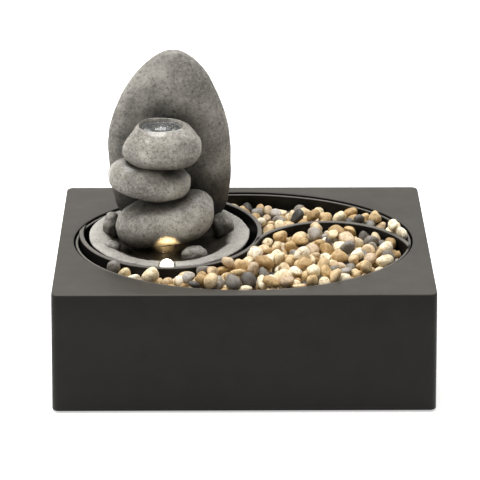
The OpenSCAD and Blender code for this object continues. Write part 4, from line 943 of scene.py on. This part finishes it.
# %% [markdown]
# ## Pebbles
# Some three hundred tumbled pebbles lie loose in the tray. Placing them by hand or on a grid never looks like a
# heap, so they are dropped: each is a small control mesh, a cube of 24 faces pulled to a ball, flattened on random
# sides and stretched. Bullet lets them fall on the tray's floor and walls, scaled so that 1 unit is 10 mm, because
# it handles sizes near 1 best. The resting places are then baked into four meshes, one for each colour, which a
# subdivision step rounds off.

# %% Pebble control meshes
side = np.array([-1.0, 0.0, 1.0])


def cube_ball():
    """26 points and 24 faces of a cube with two faces a side, and how the points lie on a ball."""
    points, faces, seen = [], [], {}
    for axis in range(3):
        for sign in (-1, 1):
            grid = [[None] * 3 for _ in range(3)]
            for i, u in enumerate(side):
                for j, v in enumerate(side):
                    q = [0.0, 0.0, 0.0]
                    q[axis], q[(axis + 1) % 3], q[(axis + 2) % 3] = sign, u, v
                    grid[i][j] = seen.setdefault(tuple(q), len(seen))
                    if len(points) < len(seen):
                        points.append(q)
            for i in range(2):
                for j in range(2):
                    f = [grid[i][j], grid[i + 1][j], grid[i + 1][j + 1], grid[i][j + 1]]
                    faces.append(f if sign > 0 else f[::-1])
    points = np.array(points)
    return points / np.linalg.norm(points, axis=1, keepdims=True), faces


BALL, BALL_FACES = cube_ball()
COUNTS = {"pebbles_tan": 142, "pebbles_cream": 106, "pebbles_grey": 44, "pebbles_dark": 20}


def pebble_shape(r):
    """One pebble's points, millimetres: a ball cut by 7 random planes, then stretched."""
    points = BALL.copy()
    for _ in range(7):
        way = r.normal(size=3)
        way /= np.linalg.norm(way)
        over = np.maximum(points @ way - r.uniform(0.45, 0.85), 0)
        points -= over[:, None] * way
    size = r.uniform(5.4, 8.6)
    stretch = np.array([1.0, r.uniform(0.64, 0.92), r.uniform(0.5, 0.85)])
    return points * size * stretch + r.normal(0, 0.4, points.shape)


def in_tray(x, y, margin):
    """True inside the tray's oval and outside the ring, by a margin in millimetres."""
    oval = (x / (TRAY_IN[0] - margin)) ** 2 + ((y - OPEN_Y) / (TRAY_IN[1] - margin)) ** 2 < 1
    return oval & (np.hypot(x - ring_at[0], y - ring_at[1]) > RING_R + margin)


def drop_share(x, y):
    """How likely a pebble falls at a place: full in the pool at the front right and at the far left front, thinner
    at the back of the pool, and thin at the back left and the far right.
    """
    pool = np.hypot(x - rib_at[0], y - rib_at[1]) < RIB_R
    share = np.where(pool, 1.0, 0.62)
    share = np.where(pool & (y > -12) & (x > 30), 0.45, share)
    share = np.where((x < 0) & (y < 0), 0.95, share)
    share = np.where((x < -55) & (y < 0), 1.0, share)
    share = np.where((x < 0) & (y > 30), 0.3, share)
    share = np.where((x > 96) & (y > -14), 0.35, share)
    return share


kinds = [n for n, count in COUNTS.items() for _ in range(count)]
rng.shuffle(kinds)
starts = []
while len(starts) < len(kinds):
    x, y = rng.uniform(-TRAY_IN[0], TRAY_IN[0]), rng.uniform(-TRAY_IN[1], TRAY_IN[1])
    if in_tray(x, y, 5 if x < -40 and y < 0 else 7) and rng.uniform() < drop_share(x, y):
        starts.append((x, y, 104 + 13 * (len(starts) // 26) + rng.uniform(0, 3)))
shapes = [pebble_shape(rng) for _ in kinds]

# %% Letting them fall
GRAIN = 0.1
scene = bpy.context.scene
bpy.ops.rigidbody.world_add()
sim = scene.rigidbody_world
sim.collection = bpy.data.collections.new("falling")
sim.substeps_per_frame, sim.solver_iterations = 8, 12
scene.gravity = (0, 0, -40)
FRAMES = 150
scene.frame_end = sim.point_cache.frame_end = FRAMES


def faller(points, faces, kind, shape, at=(0, 0, 0), turn=(0, 0, 0)):
    mesh = bpy.data.meshes.new("fall")
    mesh.from_pydata((points * GRAIN).tolist(), [], faces)
    o = bpy.data.objects.new("fall", mesh)
    o.location, o.rotation_euler = np.array(at) * GRAIN, turn
    sim.collection.objects.link(o)
    scene.collection.objects.link(o)
    with bpy.context.temp_override(object=o, active_object=o, selected_objects=[o]):
        if o.rigid_body is None:
            bpy.ops.rigidbody.object_add(type=kind)
    o.rigid_body.type, o.rigid_body.collision_shape = kind, shape
    o.rigid_body.friction, o.rigid_body.restitution = 0.75, 0.0
    o.rigid_body.use_margin, o.rigid_body.collision_margin = True, 0.015
    o.rigid_body.linear_damping, o.rigid_body.angular_damping = 0.12, 0.35
    return o


def wall_strip(loop, low, high, closed=True):
    """A thin standing wall along a loop of points, for the pebbles to lean on."""
    n = len(loop)
    points = np.concatenate([np.column_stack([loop, np.full(n, z)]) for z in (low, high)])
    last = n if closed else n - 1
    return points, [[i, (i + 1) % n, n + (i + 1) % n, n + i] for i in range(last)]


t = np.linspace(0, 2 * np.pi, 120, endpoint=False)[:, None]
oval_loop = np.hstack([TRAY_IN[0] * np.cos(t), OPEN_Y + TRAY_IN[1] * np.sin(t)])
ring_loop = ring_at + RING_R * np.hstack([np.cos(t), np.sin(t)])
t = np.radians(np.linspace(RIB_START, RIB_END, 90))[:, None]
spokes = np.hstack([np.cos(t), np.sin(t)])
rib_loop = rib_at + np.concatenate([(RIB_R - BAND / 2) * spokes, (RIB_R + BAND / 2) * spokes[::-1]])
SLAB, WALLS_UP_TO = 20.0, 460
square = ((-1, -1), (1, -1), (1, 1), (-1, 1))
floor_points = np.array([[sx * 200, sy * 200, sz * SLAB] for sz in (1, -1) for sx, sy in square], float)
floor_faces = [[0, 1, 2, 3], [7, 6, 5, 4], [0, 4, 5, 1], [1, 5, 6, 2], [2, 6, 7, 3], [3, 7, 4, 0]]
fixed = [faller(floor_points, floor_faces, "PASSIVE", "BOX", (0, 0, floor_z - SLAB)),
         faller(*wall_strip(oval_loop, floor_z - 20, WALLS_UP_TO), "PASSIVE", "MESH"),
         faller(*wall_strip(ring_loop, floor_z - 20, WALLS_UP_TO), "PASSIVE", "MESH")]
rib_points, rib_faces = wall_strip(rib_loop, floor_z - 10, rim_top)
n = len(rib_loop)
rib_faces += [[n + i, n + i + 1, 2 * n - 2 - i, 2 * n - 1 - i] for i in range(n // 2 - 1)]
fixed.append(faller(rib_points, rib_faces, "PASSIVE", "MESH"))
fallers = [faller(s, BALL_FACES, "ACTIVE", "CONVEX_HULL", at, rng.uniform(0, 6.28, 3))
           for s, at in zip(shapes, starts)]
print("falling", len(fallers))
for f in range(1, FRAMES + 1):
    scene.frame_set(f)
graph = bpy.context.evaluated_depsgraph_get()
rest = [np.array(o.evaluated_get(graph).matrix_world) for o in fallers]

# %% Baking them where they lie
for o in fixed + fallers:
    mesh = o.data
    bpy.data.objects.remove(o)
    bpy.data.meshes.remove(mesh)
bpy.ops.rigidbody.world_remove()
scene.frame_set(1)
scene.gravity = (0, 0, -9.81)
GROW = 1.09
for kind in COUNTS:
    points, faces, shade_of, lost = [], [], [], 0
    for k, (s, m) in enumerate(zip(shapes, rest)):
        if kinds[k] != kind:
            continue
        placed = s * GROW @ m[:3, :3].T + m[:3, 3] / GRAIN
        mid = placed.mean(axis=0)
        over_lamp = abs(mid[0] - lamp_mid[0]) < 10 and mid[1] < lamp_mid[1] and mid[2] > rim_top - 2
        if over_lamp or not in_tray(mid[0], mid[1], 0) or not floor_z < mid[2] < rim_top + 12:
            lost += 1
            continue
        faces += [[v + len(points) * len(BALL) for v in f] for f in BALL_FACES]
        points.append(placed)
        shade_of.append(np.full(len(BALL), rng.uniform()))
    mesh = bpy.data.meshes.new("baked")
    mesh.from_pydata((np.concatenate(points) * MM).tolist(), [], faces)
    heap = bpy.data.objects.new("heap_" + kind[8:], mesh)
    scene.collection.objects.link(heap)
    outward(heap)
    mark(heap, "shade", np.concatenate(shade_of))
    rounding = heap.modifiers.new("rounding", "SUBSURF")
    rounding.levels = rounding.render_levels = 2
    finish_piece(heap, pebble_looks[kind], "base", [kind])
    print(kind, "kept", len(points), "lost", lost, "low", round(min(p[:, 2].min() for p in points), 1),
          "high", round(max(p[:, 2].max() for p in points), 1))

# %% [markdown]
# ## The pieces that keep their own shape
# The pump, its motor, the leads, the screws, the feet, the socket and the switch are the solids as they came.
# Each only takes the finish of what it is made of.

# %% Finishes for the carried pieces
made_of = (
    (cover_black, ("bottom_cover", "flow_dial")),
    (zinc, ("cover_screws", "tray_screws", "dial_retainer", "socket_nut")),
    (black_rubber, ("feet", "suction_cups", "lead_grommet")),
    (tray_black, ("reservoir_well",)),
    (pump_black, ("pump_body", "pump_back_cover", "volute_cover")),
    (core_iron, ("stator_core",)),
    (copper, ("stator_coil",)),
    (impeller_white, ("impeller",)),
    (magnet_grey, ("rotor_magnet",)),
    (ceramic_white, ("pump_shaft", "shaft_bushings")),
    (sheath_black, ("pump_lead", "lamp_lead", "socket_lead")),
    (socket_black, ("power_socket", "switch_body", "switch_rocker")),
    (tube_clear, ("riser_tube",)),
)
carried = [node for _, nodes in made_of for node in nodes]
for look, nodes in made_of:
    for node in nodes:
        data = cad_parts[node].data
        data.materials.clear()
        data.materials.append(look)
unfinished = [n for n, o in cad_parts.items() if n not in carried and not o.hide_render]
print("carried", len(carried), "left bare", unfinished)

# %% [markdown]
# ## Floor
# A pale sweep, far wider than the view, with a faint mottle. It glows a little so that it stays white where
# the sky in front is dim.

# %% Floor
FAR = 14000.0
corners = np.array([[[-FAR, -FAR, 0.0], [FAR, -FAR, 0.0]], [[-FAR, FAR, 0.0], [FAR, FAR, 0.0]]])
floor = skin("floor", corners, closed_rows=False)
if floor.data.polygons[0].normal.z < 0:
    floor.data.flip_normals()
p = Paint("paper_floor", 0.85)
p.colour(p.ramp(p.noise(3, 4), (0.3, (0.86, 0.86, 0.86)), (0.7, (0.9, 0.9, 0.9))))
p.shader.inputs["Emission Color"].default_value = (1, 1, 1, 1)
p.shader.inputs["Emission Strength"].default_value = 0.5
p.shader.inputs["Specular IOR Level"].default_value = 0.1
floor.data.materials.append(p.material)
